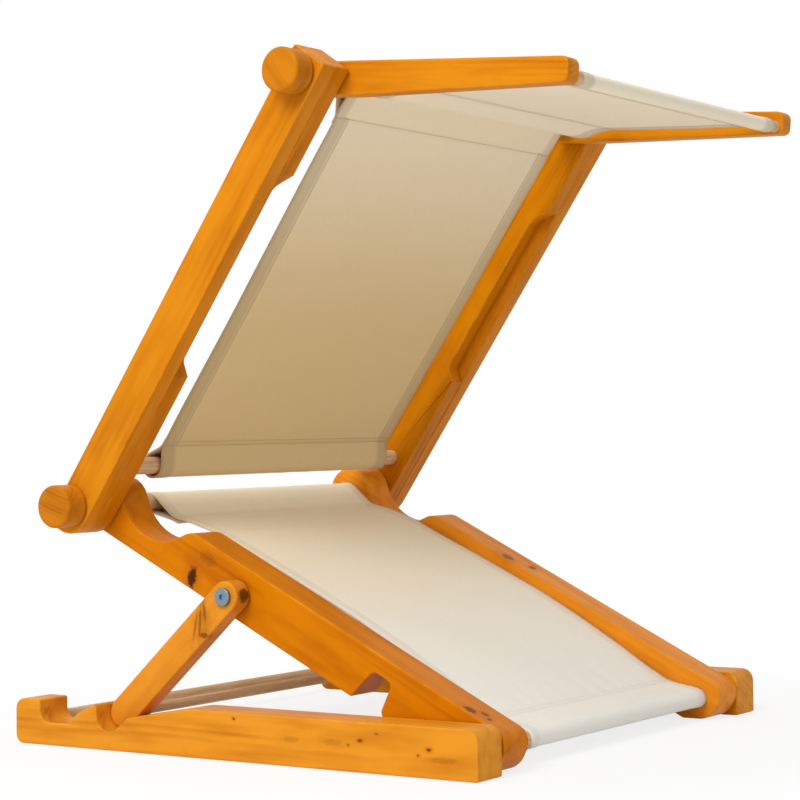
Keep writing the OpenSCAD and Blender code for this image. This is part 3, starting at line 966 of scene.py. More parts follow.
@dataclass
class WoodenFrame:
    """All boards and dowels of the lounger."""

    layout: Layout
    dowels: tuple[str, ...] = ("base_cross_dowel", "sling_dowel_rear", "sling_dowel_front", "strut_dowel",
                               "hood_low_dowel", "flap_hinge_dowel", "flap_front_dowel")

    def base_rails(self) -> SideBoards:
        """The ground rails; the left one's outer face has small knots and faint stains.

        Returns:
            The pair.
        """
        face = -322
        marks = (Knot(face, 284.3, 20.2, 1.5, 0.9),
                 Knot(face, 117.3, 7.5, 1.9, 0.8, squeeze=0.5),
                 Knot(face, 132.7, 2.1, 1.3, 0.6),
                 Knot(face, 96.9, 15.7, 1.4, 0.5, squeeze=0.5),
                 Knot(face, 31.7, 3.6, 2.2, 0.8, squeeze=0.6),
                 Knot(face, 44.9, -2.9, 1.3, 0.8),
                 Knot(face, 207.1, 3.0, 4.0, 0.22, squeeze=0.3),
                 Knot(face, 153.0, 4.0, 4.0, 0.2, squeeze=0.25),
                 Knot(face, 14.0, -6.0, 3.6, 0.22, squeeze=0.16))
        return SideBoards("base_rail", "base", self.layout.base, 3.1, (210, -120), 7,
                          Tones((226, 148, 38), (178, 96, 4)), knots={Side.LEFT: marks})

    def panel_rails(self) -> SideBoards:
        """The panel rails; one large knot shows on the left one, small ones on both top edges.

        Returns:
            The pair.
        """
        face = -271
        left = (Knot(face, 417, -19, 15, 1.0, squeeze=1.9, skew=-0.2),
                Knot(face, 405, 10, 9, 0.3, squeeze=0.6),
                Knot(-262, 34, 26, 3.4, 0.8, 0.5, 0.35),
                Knot(-250, 22, 26, 2.6, 0.7, 0.5, 0.4),
                Knot(-256, 12, 25, 2.4, 0.8, 0.5),
                Knot(face, 518, 14, 6, 0.35))
        right = (Knot(232, 318, 26, 4.5, 0.7, 0.5, 0.4),
                 Knot(246, 287, 26, 4.0, 0.7, 0.5))
        return SideBoards("panel_rail", "panel", self.layout.panel, 7.4, (180, -190), 8,
                          # The right rail's paler tones are painted light on the far rail.
                          Tones((210, 122, 2), (164, 78, 0)), Tones((236, 146, 36), (190, 98, 10)),
                          knots={Side.LEFT: left, Side.RIGHT: right})

    def struts(self) -> SideBoards:
        """The struts; dark cracks cross the left one's upper end, and a dark patch of painted shade lies on
        its round end.

        Returns:
            The pair.
        """
        face = -298
        marks = (Knot(face, 32, 6, 12, 0.5, squeeze=3.6, skew=0.7),
                 Knot(face, 44, 2, 15, 0.55, squeeze=6.0, skew=1.0),
                 Knot(face, 52, 3, 12, 0.45, squeeze=5.0, skew=1.3),
                 Knot(face, 50, -13, 6, 0.7, squeeze=1.2, skew=-0.6),
                 Knot(face, 42, 0, 16, 0.16, squeeze=0.9),
                 # Painted shade on the round upper end of the left strut, drawn as a dark knot.
                 Knot(-284, -13, -10, 9, 0.85, 0.8))
        return SideBoards("strut", "struts", self.layout.props, 11.9, (200, -90), 5,
                          Tones((226, 146, 40), (176, 94, 8)), knots={Side.LEFT: marks})

    def boards(self) -> list[SideBoards]:
        """The pairs of side boards, from the ground up."""
        hood, flap = self.layout.hood, self.layout.flap
        return [self.base_rails(), self.panel_rails(), self.struts(),
                SideBoards("hood_outer_board", "hood", hood, 15.2, (190, 150), 7),
                # The inner boards' deeper tones are painted shade on the far rail's inner face and pocket.
                SideBoards("hood_inner_board", "hood", hood, 19.6, (230, -160), 6,
                           Tones((204, 122, 2), (160, 78, 0))),
                SideBoards("flap_arm", "flap", flap, 23.3, (180, 160), 6, edge_mm=2.0)]

    def build(self) -> None:
        """Builds the boards and gives the dowels their bare wood."""
        for pair in self.boards():
            pair.build(self.layout.middle)
        finish_nodes(self.dowels, RawWood("raw_dowel"))


@dataclass
class Fasteners:
    """Bolts, studs, inserts and washers."""

    rim_mm: float = 0.8
    smallest_rim: float = 0.015

    def build(self) -> None:
        """Dresses the metal and fibre pieces; the bolt heads get a rounded rim."""
        zinc = Metal("zinc_plating", (132, 152, 166), 0.4).material()
        for node, body in (("strut_bolts", "panel"), ("hood_bolt", "panel"), ("flap_bolt", "flap")):
            dress(eased_copy(node, self.rim_mm * MM, self.smallest_rim), zinc, body)
        finish_nodes(("hood_stud", "flap_stud"), Metal("stud_steel", (160, 165, 172), 0.4))
        finish_nodes(("strut_inserts", "hood_hinge_inserts", "flap_hinge_inserts"),
                     Metal("insert_plating", (168, 160, 120), 0.45))
        finish_nodes(("hood_knob_washer", "flap_knob_washer", "strut_washers", "hood_hinge_washers",
                      "front_hinge_washers", "flap_hinge_washers"),
                     Metal("washer_fibre", (46, 40, 36), 0.7, 0.0))


@dataclass
class Knobs:
    """The two clamping knobs on the left, turned from pine; x counts outwards from the middle."""

    layout: Layout
    diameter_mm: float = 48.5
    inner_mm: float = 324.0
    outer_mm: float = 353.5
    round_mm: float = 3.5
    crown_mm: float = 0.5
    bevel_mm: float = 1.2
    stud_mm: float = 8.1
    stud_depth_mm: float = 16.0
    tones: Tones = Tones((202, 122, 20), (140, 70, 4))

    def profile(self, edge_steps: int = 6, face_steps: int = 5) -> list[Point]:
        """Draws the half section of a knob.

        Args:
            edge_steps: steps of the rounded edge.
            face_steps: rings of the slightly crowned face.

        Returns:
            (x, radius) of the stud's hole, the back, the rim, the rounded edge and the face.
        """
        rim, ease = self.diameter_mm / 2, self.round_mm
        flat, face = rim - ease, self.outer_mm - self.crown_mm
        hole, floor = self.stud_mm / 2, self.inner_mm + self.stud_depth_mm
        points = [(floor, 0), (floor, hole), (self.inner_mm, hole), (self.inner_mm, rim - self.bevel_mm),
                  (self.inner_mm + self.bevel_mm, rim)]
        for k in range(edge_steps + 1):
            a = math.pi / 2 * k / edge_steps
            points.append((face - ease + ease * math.sin(a), flat + ease * math.cos(a)))
        for k in reversed(range(face_steps)):
            radius = flat * k / face_steps
            points.append((self.outer_mm - self.crown_mm * (radius / flat) ** 2, radius))
        return [(self.layout.middle - x * MM, radius * MM) for x, radius in points]

    def build(self) -> None:
        """Builds the knobs at the two hinges of the hood."""
        for order, (place, centre) in enumerate((("hood", self.layout.knuckle), ("flap", self.layout.top))):
            node = place + "_knob"
            knob = turned_piece(node + "_turned", self.profile(), centre)
            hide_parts(node)
            wood = VarnishedPine("pine_" + node, self.layout.middle, Plane(centre, 20.0 + 35 * order),
                                 30.0 + 4 * order, (-300.0, -70.0), 3.5, 6.0, tones=self.tones)
            dress(knob, wood.material(), place + "_clamp")


# Cloth

LAP_LENGTH = 9 * MM
LAP_GAP = 2.6 * MM
SEAM_FROM_HEM = 3 * MM
SEAM_PAIR = 6 * MM
SEAM_LIFT = 1.3 * MM


def arc(centre: Point, radius: float, first: float, sweep: float, steps: int) -> list[Point]:
    """Points along an arc.

    Args:
        centre: the arc's centre.
        radius: its radius.
        first: the first point's angle, in radians.
        sweep: the angle to the last point, in radians.
        steps: the number of steps.

    Returns:
        The points, both ends among them.
    """
    angles = [first + sweep * k / steps for k in range(steps + 1)]
    return [(centre[0] + radius * math.cos(a), centre[1] + radius * math.sin(a)) for a in angles]


def tangent(point: Point, centre: Point, radius: float, turn: int) -> float:
    """Finds where a line from a point touches a circle.

    Args:
        point: the point.
        centre, radius: the circle.
        turn: picks one of the two tangents: 1 or -1.

    Returns:
        The tangent point's angle, seen from the centre, in radians.
    """
    dx, dy = point[0] - centre[0], point[1] - centre[1]
    return math.atan2(dy, dx) + turn * math.acos(min(1.0, radius / math.hypot(dx, dy)))


def teardrop(centre: Point, seam: Point, radius: float, way: int, steps: int = 22) -> list[Point]:
    """Leads a cloth from a seam round a dowel and back.

    Args:
        centre: the dowel's centre.
        seam: the seam that closes the sleeve.
        radius: radius of the cloth on the dowel.
        way: 1 to go round anticlockwise, -1 for clockwise.
        steps: points on the round part.

    Returns:
        The round part's points, from the first tangent point to the last.
    """
    heading = math.atan2(seam[1] - centre[1], seam[0] - centre[0])
    first = tangent(seam, centre, radius, way)
    return arc(centre, radius, first, way * (math.tau - 2 * abs(first - heading)), steps)


def wrapped(start: Point, centre: Point, end: Point, radius: float, way: int, steps: int = 14) -> list[Point]:
    """Leads a taut cloth from one point to another round a dowel.

    Args:
        start, end: the two points.
        centre: the dowel's centre.
        radius: radius of the cloth on the dowel.
        way: 1 to go round anticlockwise, -1 for clockwise.
        steps: points on the round part.

    Returns:
        The round part's points.
    """
    first, last = tangent(start, centre, radius, way), tangent(end, centre, radius, -way)
    return arc(centre, radius, first, (last - first) * way % math.tau * way, steps)


def lap(seam: Point, along: float, side: float) -> list[Point]:
    """The end of a cloth that is sewn under its seam.

    Args:
        seam: the seam.
        along: the lap's length, below 0 where it points back.
        side: the lap's height from the seam.

    Returns:
        The free end and the end at the seam.
    """
    return [(seam[0] + along, seam[1] + side), (seam[0], seam[1] + side)]


def eased_line(points: Sequence[Point], pitch: float) -> np.ndarray:
    """Spaces points evenly along a path, with its corners softened.

    Args:
        points: the path.
        pitch: distance between the points.

    Returns:
        An array of (along, height) rows.
    """
    path = np.array(points, float)
    run = np.concatenate([[0.0], np.cumsum(np.hypot(*np.diff(path, axis=0).T))])
    count = max(4, round(run[-1] / pitch))
    even = np.linspace(0.0, run[-1], count + 1)
    line = np.stack([np.interp(even, run, path[:, k]) for k in (0, 1)], 1)
    for _ in range(2):
        line[1:-1] = 0.25 * line[:-2] + 0.5 * line[1:-1] + 0.25 * line[2:]
    return line


@dataclass(frozen=True)
class Slack:
    """How a stretched cloth strays from its path: slow waves, and puckers that start at its seams."""

    wave_across: float
    pucker: float
    pucker_across: float
    pucker_reach: float
    layers: Triple
    wave: float = 0.0016
    wave_along: float = 5.0
    pucker_along: float = 6.0
    settle: float = 0.05
    pucker_start: float = 0.006
    sleeve: float = 0.0002
    sleeve_rate: float = 40.0

    def rise(self, x: float, run: float, inside: float, calm: Pair = (1.0, 1.0)) -> float:
        """Works out the cloth's height above its path.

        Args:
            x, run: the place on the cloth.
            inside: distance from the nearest seam, below 0 in a sleeve.
            calm: the shares of the waves and of the puckers that are left.

        Returns:
            The height.
        """
        wave_layer, pucker_layer, sleeve_layer = self.layers

        def ripple(across: float, along: float, layer: float) -> float:
            """Smooth noise that changes by across and along per metre."""
            return noise.noise(Vector((x * across, run * along, layer)))

        if inside < 0:
            return self.sleeve * ripple(self.sleeve_rate, self.sleeve_rate, sleeve_layer)
        wave = self.wave * ripple(self.wave_across, self.wave_along, wave_layer)
        wave *= min(1.0, inside / self.settle)
        pucker = self.pucker * ripple(self.pucker_across, self.pucker_along, pucker_layer)
        pucker *= math.exp(-inside / self.pucker_reach) * min(1.0, inside / self.pucker_start)
        return wave * calm[0] + pucker * calm[1]


@dataclass
class ClothStrip:
    """A strip of cloth that follows a path seen from the side, from one side edge to the other."""

    name: str
    plane: Plane
    path: Sequence[Point]
    left: Callable[[float], float]
    right: Callable[[float], float]
    pitch: float = 0.0048
    thickness: float = 0.0012
    hem_width: float = 0.020
    hem_steps: int = 3
    hem_margin: float = 1e-4
    seam_inset: float = 0.004
    seam_points: int = 90
    lift: Callable[[float, float, float], float] | None = None

    def __post_init__(self) -> None:
        """Spaces the path and works out its run and normals."""
        self.line = eased_line(self.path, self.pitch)
        step = np.diff(self.line, axis=0)
        self.run = np.concatenate([[0.0], np.cumsum(np.hypot(*step.T))])
        slope = np.gradient(self.line, axis=0)
        slope /= np.hypot(*slope.T)[:, None]
        self.normals = np.stack([-slope[:, 1], slope[:, 0]], 1)

    @property
    def length(self) -> float:
        """Length of the cloth along its path."""
        return float(self.run[-1])

    @property
    def width(self) -> float:
        """Width of the cloth at its start."""
        return self.right(0.0) - self.left(0.0)

    def run_at(self, place: Point, after: float) -> float:
        """Finds the run of the path's point that lies nearest to a place.

        Args:
            place: (along, height) of the place.
            after: only points past this run count.

        Returns:
            The run.
        """
        far = 10.0
        gap = np.hypot(*(self.line - place).T) + np.where(self.run < after, far, 0.0)
        return float(self.run[int(np.argmin(gap))])

    def surface(self, run: float, share: float, proud: float = 0.0) -> Vector:
        """Finds a point of the cloth.

        Args:
            run: distance along the path.
            share: 0 at the left edge, 1 at the right.
            proud: distance above the cloth, on the side its path has on its left.

        Returns:
            The point in the model's frame.
        """
        along, height, nu, nv = (float(np.interp(run, self.run, part))
                                 for part in (*self.line.T, *self.normals.T))
        left, right = self.left(run), self.right(run)
        x = left + (right - left) * share
        rise = proud + (self.lift(run, share, x) if self.lift else 0.0)
        return self.plane.place(x, along + rise * nu, height + rise * nv)

    def shares(self) -> list[float]:
        """Spaces the cloth's points from edge to edge, with a row along each hem.

        Returns:
            The shares of the width, from 0 to 1.
        """
        hem = self.hem_width / self.width
        inner = max(6, round((self.width - 2 * self.hem_width) / self.pitch))
        side = [hem * k / self.hem_steps for k in range(self.hem_steps)]
        middle = [hem + (1 - 2 * hem) * k / inner for k in range(inner + 1)]
        return side + middle + [1 - share for share in reversed(side)]

    def build(self) -> bpy.types.Object:
        """Makes the strip; its hems are twice as thick.

        Returns:
            The object, with the UV map cloth in metres and the point attribute hem.
        """
        shares = self.shares()
        hem = self.hem_width / self.width - self.hem_margin
        bm = bmesh.new()
        uv = bm.loops.layers.uv.new("cloth")
        hem_layer = bm.verts.layers.float.new("hem")
        rows, where = [], {}
        for run in self.run:
            row = []
            for share in shares:
                vert = bm.verts.new(self.surface(run, share))
                vert[hem_layer] = float(min(share, 1 - share) < hem)
                where[vert] = (self.width * share, float(run))
                row.append(vert)
            rows.append(row)
        for a, b in zip(rows, rows[1:]):
            for k in range(len(shares) - 1):
                face = bm.faces.new((a[k], a[k + 1], b[k + 1], b[k]))
                for loop in face.loops:
                    loop[uv].uv = where[loop.vert]
        mesh = bpy.data.meshes.new(self.name)
        bm.to_mesh(mesh)
        bm.free()
        mesh.shade_smooth()
        cloth = add_object(self.name, mesh)
        self.thicken(cloth)
        return cloth

    def thicken(self, cloth: bpy.types.Object) -> None:
        """Gives the cloth its thickness, doubled in the hems.

        Args:
            cloth: the strip's object.
        """
        marks = np.zeros(len(cloth.data.vertices))
        cloth.data.attributes["hem"].data.foreach_get("value", marks)
        group = cloth.vertex_groups.new(name="doubled")
        group.add([int(k) for k in np.nonzero(marks > 0.5)[0]], 1.0, "REPLACE")
        wall = cloth.modifiers.new("cloth_thickness", "SOLIDIFY")
        wall.thickness, wall.offset = 2 * self.thickness, 0.0
        wall.vertex_group, wall.thickness_vertex_group = "doubled", 0.5

    def side_seams(self, start: float, end: float) -> list[list[Vector]]:
        """Draws the stitch lines along both side hems, on both faces of the cloth.

        Args:
            start, end: the runs between which the hems are sewn.

        Returns:
            The lines.
        """
        inset = (self.hem_width - SEAM_FROM_HEM) / self.width
        runs = np.arange(start, end, self.pitch)
        return [[self.surface(float(r), share, proud) for r in runs]
                for share in (inset, 1 - inset) for proud in (self.thickness, -self.thickness)]

    def cross_seams(self, runs: Sequence[float]) -> list[list[Vector]]:
        """Draws stitch lines from edge to edge, on both faces of the cloth.

        Args:
            runs: where the lines are.

        Returns:
            The lines.
        """
        shares = np.linspace(self.seam_inset, 1 - self.seam_inset, self.seam_points)
        return [[self.surface(run, float(share), proud) for share in shares]
                for run in runs for proud in (SEAM_LIFT, -SEAM_LIFT)]


def stitch_tree() -> bpy.types.NodeTree:
    """Builds the Geometry Nodes tree that sews stitches along the edges of a mesh.

    Returns:
        The tree, with inputs for the pitch and length of a stitch, the thread's thickness and its finish.
    """
    tree = bpy.data.node_groups.new("stitches", "GeometryNodeTree")
    tree.interface.new_socket("Seams", in_out="INPUT", socket_type="NodeSocketGeometry")
    for label, value in (("Pitch", 0.0036), ("Stitch Length", 0.0026), ("Thread", 0.00045)):
        made = tree.interface.new_socket(label, in_out="INPUT", socket_type="NodeSocketFloat")
        made.default_value = value
    tree.interface.new_socket("Finish", in_out="INPUT", socket_type="NodeSocketMaterial")
    tree.interface.new_socket("Stitches", in_out="OUTPUT", socket_type="NodeSocketGeometry")
    g = Graph(tree)
    entry, way_out = g.node("NodeGroupInput").outputs, g.node("NodeGroupOutput")
    seam = g.node("GeometryNodeMeshToCurve", Mesh=entry["Seams"])
    spaced = g.node("GeometryNodeResampleCurve", {"mode": "LENGTH"}, Curve=seam.outputs[0],
                    Length=entry["Pitch"])
    bead = g.node("GeometryNodeMeshIcoSphere", Radius=0.5, Subdivisions=1)
    size = g.node("ShaderNodeCombineXYZ", X=entry["Stitch Length"], Y=entry["Thread"], Z=entry["Thread"])
    heading = g.node("FunctionNodeAlignRotationToVector", {"axis": "X"},
                     Vector=g.node("GeometryNodeInputTangent").outputs[0])
    sewn = g.node("GeometryNodeInstanceOnPoints", Points=spaced.outputs[0], Instance=bead.outputs[0],
                  Rotation=heading.outputs[0], Scale=size.outputs[0])
    real = g.node("GeometryNodeRealizeInstances", Geometry=sewn.outputs[0])
    smooth = g.node("GeometryNodeSetShadeSmooth", Geometry=real.outputs[0])
    dressed = g.node("GeometryNodeSetMaterial", Geometry=smooth.outputs[0], Material=entry["Finish"])
    g.feed(way_out.inputs["Stitches"], dressed.outputs[0])
    return tree


def sew(name: str, seams: Sequence[Sequence[Vector]], thread: bpy.types.Material,
        thickness: float) -> bpy.types.Object:
    """Sews stitches along seams, as one plain mesh.

    Args:
        name: the piece's name.
        seams: the lines, each a list of points.
        thread: the thread's finish.
        thickness: the thread's thickness.

    Returns:
        The object.
    """
    points = [p for seam in seams for p in seam]
    edges, first = [], 0
    for seam in seams:
        edges += [(k, k + 1) for k in range(first, first + len(seam) - 1)]
        first += len(seam)
    mesh = bpy.data.meshes.new(name + "_seams")
    mesh.from_pydata(points, edges, [])
    holder = add_object(name + "_seams", mesh)
    tree = stitch_tree()
    sewing = holder.modifiers.new("stitches", "NODES")
    sewing.node_group = tree
    sockets = {item.name: item.identifier for item in tree.interface.items_tree if item.in_out == "INPUT"}
    sewing[sockets["Thread"]] = thickness
    sewing[sockets["Finish"]] = thread
    bpy.context.view_layer.update()
    plain = bpy.data.meshes.new_from_object(holder.evaluated_get(bpy.context.evaluated_depsgraph_get()))
    plain.name = name
    holder.modifiers.remove(sewing)
    bpy.data.objects.remove(holder)
    return add_object(name, plain)


@dataclass
class Sling:
    """The sling between the two panel dowels, which has slid toward +X."""

    layout: Layout
    left_x: float = -0.17455
    right_x: float = 0.23545
    wrap: float = 0.0113
    seam_run: float = 0.042
    rises_mm: tuple[Point, ...] = ((60, 1.2), (80, 2.5), (115, 6.5), (185, 11.5), (250, 14.5), (349, 15),
                                   (460, 13.5), (505, 7.0))
    thread_width: float = 0.00045
    slack: Slack = Slack(wave_across=7.0, pucker=0.0011, pucker_across=62.0, pucker_reach=0.045,
                         layers=(1.0, 2.0, 3.0))
    roll: float = 0.0035
    roll_width: float = 0.018
    roll_length: float = 0.16
    far_roll: float = 0.3
    rear_sleeve: float = 0.09

    def path(self) -> list[Point]:
        """Leads the cloth from its front lap round the front dowel, up the sling and round the rear dowel.

        Returns:
            The path, in the plane of the sling.
        """
        front_dowel, rear_dowel = (0.0, 0.0), (self.layout.sling_reach, 0.0)
        front_seam, rear_seam = (self.seam_run, 0.0), (self.layout.sling_reach - self.seam_run, 0.0)
        return (lap(front_seam, LAP_LENGTH, -LAP_GAP) + teardrop(front_dowel, front_seam, self.wrap, -1)
                + [front_seam] + [(u * MM, h * MM) for u, h in self.rises_mm] + [rear_seam]
                + teardrop(rear_dowel, rear_seam, self.wrap, -1)
                + lap(rear_seam, -LAP_LENGTH, -LAP_GAP)[::-1])

    def build(self, canvas: bpy.types.Material, thread: bpy.types.Material) -> None:
        """Builds the sling and its stitches.

        Args:
            canvas: the cloth's finish.
            thread: the thread's finish.
        """
        strip = ClothStrip("sling", self.layout.sling, self.path(), lambda run: self.left_x,
                           lambda run: self.right_x)
        front = strip.run_at((self.seam_run, 0.0), after=0.06)
        rear = strip.run_at((self.layout.sling_reach - self.seam_run, 0.0), after=0.3)
        rear = min(rear, strip.length - self.rear_sleeve)

        def lift(run: float, share: float, x: float) -> float:
            """Works out the slack, and a roll of the side edges near the rear dowel.

            Args:
                run, share, x: the place on the cloth.

            Returns:
                The height above the path.
            """
            inside = min(run - front, rear - run)
            edge = min(share, 1 - share) * strip.width
            back = strip.length - rear + inside
            roll = math.exp(-edge / self.roll_width) * math.exp(-(back / self.roll_length) ** 2)
            roll *= max(0.0, min(1.0, inside / self.slack.settle)) * (1 if share < 0.5 else self.far_roll)
            return self.slack.rise(x, run, inside) - self.roll * roll

        strip.lift = lift
        cloth = strip.build()
        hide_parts("sling_cloth")
        dress(cloth, canvas, "panel")
        seams = strip.side_seams(front, rear)
        seams += strip.cross_seams((front, front + SEAM_PAIR, rear, rear - SEAM_PAIR))
        stitches = sew("sling_stitches", seams, thread, self.thread_width)
        dress(stitches, thread, "panel")
        round(strip.length, 3)


@dataclass
class Canopy:
    """The cloth of hood and flap: one long sheet, and a strip that makes the tunnel for the top dowel.

    Places named low and top are in the hood's plane, the others in the flap's.
    """

    layout: Layout
    width: float = 0.461
    low_slide: float = 0.02545
    top_slide: float = 0.01245
    low_dowel: Point = (0.055, 0.002)
    low_seam: Point = (0.082, 0.003)
    top_seam: Point = (0.530, 0.0105)
    dip_mm: tuple[Point, ...] = ((15.8, -11.1), (30.6, -13.5), (40.8, -14.8), (49.4, -12.3), (57.9, -8.8),
                                 (66.3, -6.0))
    flap_seam: Point = (0.080, -0.004)
    flap_line: tuple[Point, ...] = ((0.137, -0.003), (0.206, -0.0026))
    front_seam: Point = (0.2625, 0.0)
    front_dowel: Point = (0.2955, 0.0)
    tunnel_seam: Point = (0.080, -0.0026)
    tunnel_lap: float = 0.008
    tunnel_gap: float = 0.0014
    low_wrap: float = 0.0145
    low_sag: float = 0.0004
    wrap: float = 0.0113
    slim_wrap: float = 0.0083
    front_sleeve: float = 0.085
    hem: float = 0.027
    thread_width: float = 0.0006
    slack: Slack = Slack(wave_across=6.0, pucker=0.0009, pucker_across=60.0, pucker_reach=0.03,
                         layers=(8.0, 9.0, 5.0))
    calm_over_dowel: Pair = (0.2, 0.3)
    bend_reach: float = 0.022

    def on_flap(self, *points: Point) -> list[Point]:
        """Finds points of the flap's plane in the hood's plane.

        Args:
            *points: the points.

        Returns:
            Their places in the hood's plane.
        """
        placed = [self.layout.flap.place(0.0, *point) for point in points]
        return [self.layout.hood.read(point.y, point.z) for point in placed]

    @property
    def top_dowel(self) -> Point:
        """The top dowel, in the hood's plane."""
        return self.layout.hood_reach, 0.0

    def path(self) -> list[Point]:
        """Leads the cloth from the lower sleeve up the hood, under the top dowel and out to the front sleeve.

        Returns:
            The path, in the hood's plane.
        """
        low, front = self.low_seam, self.front_seam
        sleeve = [(u - self.low_sag, v) for u, v in teardrop(self.low_dowel, low, self.low_wrap, 1)]
        dip = self.on_flap(*((u * MM, v * MM) for u, v in self.dip_mm))
        bend = wrapped(self.top_seam, self.top_dowel, dip[0], self.wrap, 1)
        end = teardrop(self.front_dowel, front, self.slim_wrap, 1) + lap(front, -LAP_LENGTH, LAP_GAP)[::-1]
        return (lap(low, LAP_LENGTH, -LAP_GAP) + sleeve + [low, self.top_seam] + bend + dip
                + self.on_flap(self.flap_seam, *self.flap_line, front, *end))

    def tunnel_path(self) -> list[Point]:
        """Leads the tunnel's strip from the hood's seam over the top dowel to the flap's seam.

        Returns:
            The path, in the hood's plane.
        """
        start = (self.top_seam[0], self.top_seam[1] - self.tunnel_gap)
        along, height = self.tunnel_seam
        seam, end = self.on_flap(self.tunnel_seam, (along + self.tunnel_lap, height))
        over = wrapped(self.top_seam, self.top_dowel, seam, self.wrap, -1)
        return [(start[0] - self.tunnel_lap, start[1]), start] + over + [seam, end]

    def long_sheet(self) -> tuple[ClothStrip, list[list[Vector]]]:
        """Shapes the long sheet.

        Returns:
            The strip, and the stitch lines on it.
        """
        half = self.width / 2

        def middle(run: float) -> float:
            """The cloth's middle; it has slid less at the seam top, which is found below, than lower down."""
            share = min(1.0, max(0.0, run / top))
            return self.low_slide + (self.top_slide - self.low_slide) * share

        strip = ClothStrip("canopy", self.layout.hood, self.path(), lambda run: middle(run) - half,
                           lambda run: middle(run) + half, hem_width=self.hem)
        top = strip.run_at(self.top_seam, after=0.2)
        low = strip.run_at(self.low_seam, after=0.06)
        flap = strip.run_at(self.on_flap(self.flap_seam)[0], after=top + 0.05)
        front = strip.run_at(self.on_flap(self.front_seam)[0], after=flap + 0.1)
        front = min(front, strip.length - self.front_sleeve)

        def lift(run: float, share: float, x: float) -> float:
            """The slack, calmer over the top dowel."""
            inside = min(abs(run - seam) for seam in (low, top, flap, front)) if low <= run <= front else -1.0
            return self.slack.rise(x, run, inside, self.calm_over_dowel if top < run < flap else (1.0, 1.0))

        strip.lift = lift
        runs = (low, low + SEAM_PAIR, top, flap, flap + SEAM_PAIR, front, front - SEAM_PAIR)
        return strip, strip.side_seams(low, front) + strip.cross_seams(runs)

    def build(self, canvas: bpy.types.Material, top_canvas: bpy.types.Material,
              thread: bpy.types.Material) -> None:
        """Builds the long sheet, the tunnel strip and the stitches, all wrapped round the top dowel.

        Args:
            canvas: the finish of the long sheet.
            top_canvas: the finish of the tunnel strip.
            thread: the thread's finish.
        """
        strip, seams = self.long_sheet()
        cloth = strip.build()
        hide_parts("hood_cloth", "flap_cloth")
        half = self.width / 2
        tunnel = ClothStrip("canopy_tunnel", self.layout.hood, self.tunnel_path(),
                            lambda run: self.top_slide - half, lambda run: self.top_slide + half)
        outer = tunnel.build()
        stitches = sew("canopy_stitches", seams, thread, self.thread_width)
        start = self.layout.hood.place(0.0, self.layout.hood_reach - self.bend_reach, 0.0)
        end = self.layout.flap.place(0.0, self.bend_reach, 0.0)
        for piece, finish in ((cloth, canvas), (outer, top_canvas), (stitches, thread)):
            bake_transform(piece)
            dress(piece, finish, None)
        self.width
        round(strip.length, 3)
        self.width
        round(tunnel.length, 3)


# Studio

@dataclass
class PhotoCamera:
    """The photograph's viewpoint; angles in degrees, the frame is 800 by 800 pixels."""

    place: Triple = (-2.23405, -1.493926, 0.3585)
    yaw: float = 33.0954
    pitch: float = 2.1209
    roll: float = -0.7596
    lens: float = 101.476
    sensor: float = 36.0
    shift: Pair = (-0.05526, -0.07079)
    clip: Pair = (0.05, 50.0)

    def build(self) -> None:
        """Makes it the scene's camera."""
        yaw, pitch, roll = (math.radians(a) for a in (self.yaw, self.pitch, self.roll))
        ahead = Vector((math.cos(yaw) * math.cos(pitch), math.sin(yaw) * math.cos(pitch), math.sin(pitch)))
        level = Vector((math.sin(yaw), -math.cos(yaw), 0.0))
        upright = level.cross(ahead)
        right = level * math.cos(roll) + upright * math.sin(roll)
        up = -level * math.sin(roll) + upright * math.cos(roll)
        data = bpy.data.cameras.new("photo_camera")
        data.lens, data.sensor_width = self.lens, self.sensor
        data.shift_x, data.shift_y = self.shift
        data.clip_start, data.clip_end = self.clip
        camera = bpy.data.objects.new("photo_camera", data)
        turn = Matrix((right, up, -ahead)).transposed().to_4x4()
        camera.matrix_world = Matrix.Translation(self.place) @ turn
        bpy.context.scene.collection.objects.link(camera)
        bpy.context.scene.camera = camera


@dataclass(frozen=True)
class Lamp:
    """A square area lamp at place that faces aim."""

    name: str
    place: Triple
    aim: Triple
    size: float
    watts: float

    def build(self) -> None:
        """Makes the lamp."""
        data = bpy.data.lights.new(self.name, "AREA")
        data.size, data.energy = self.size, self.watts
        lamp = bpy.data.objects.new(self.name, data)
        ahead = (Vector(self.aim) - Vector(self.place)).normalized()
        turn = ahead.to_track_quat("-Z", "Y").to_matrix().to_4x4()
        lamp.matrix_world = Matrix.Translation(self.place) @ turn
        bpy.context.scene.collection.objects.link(lamp)


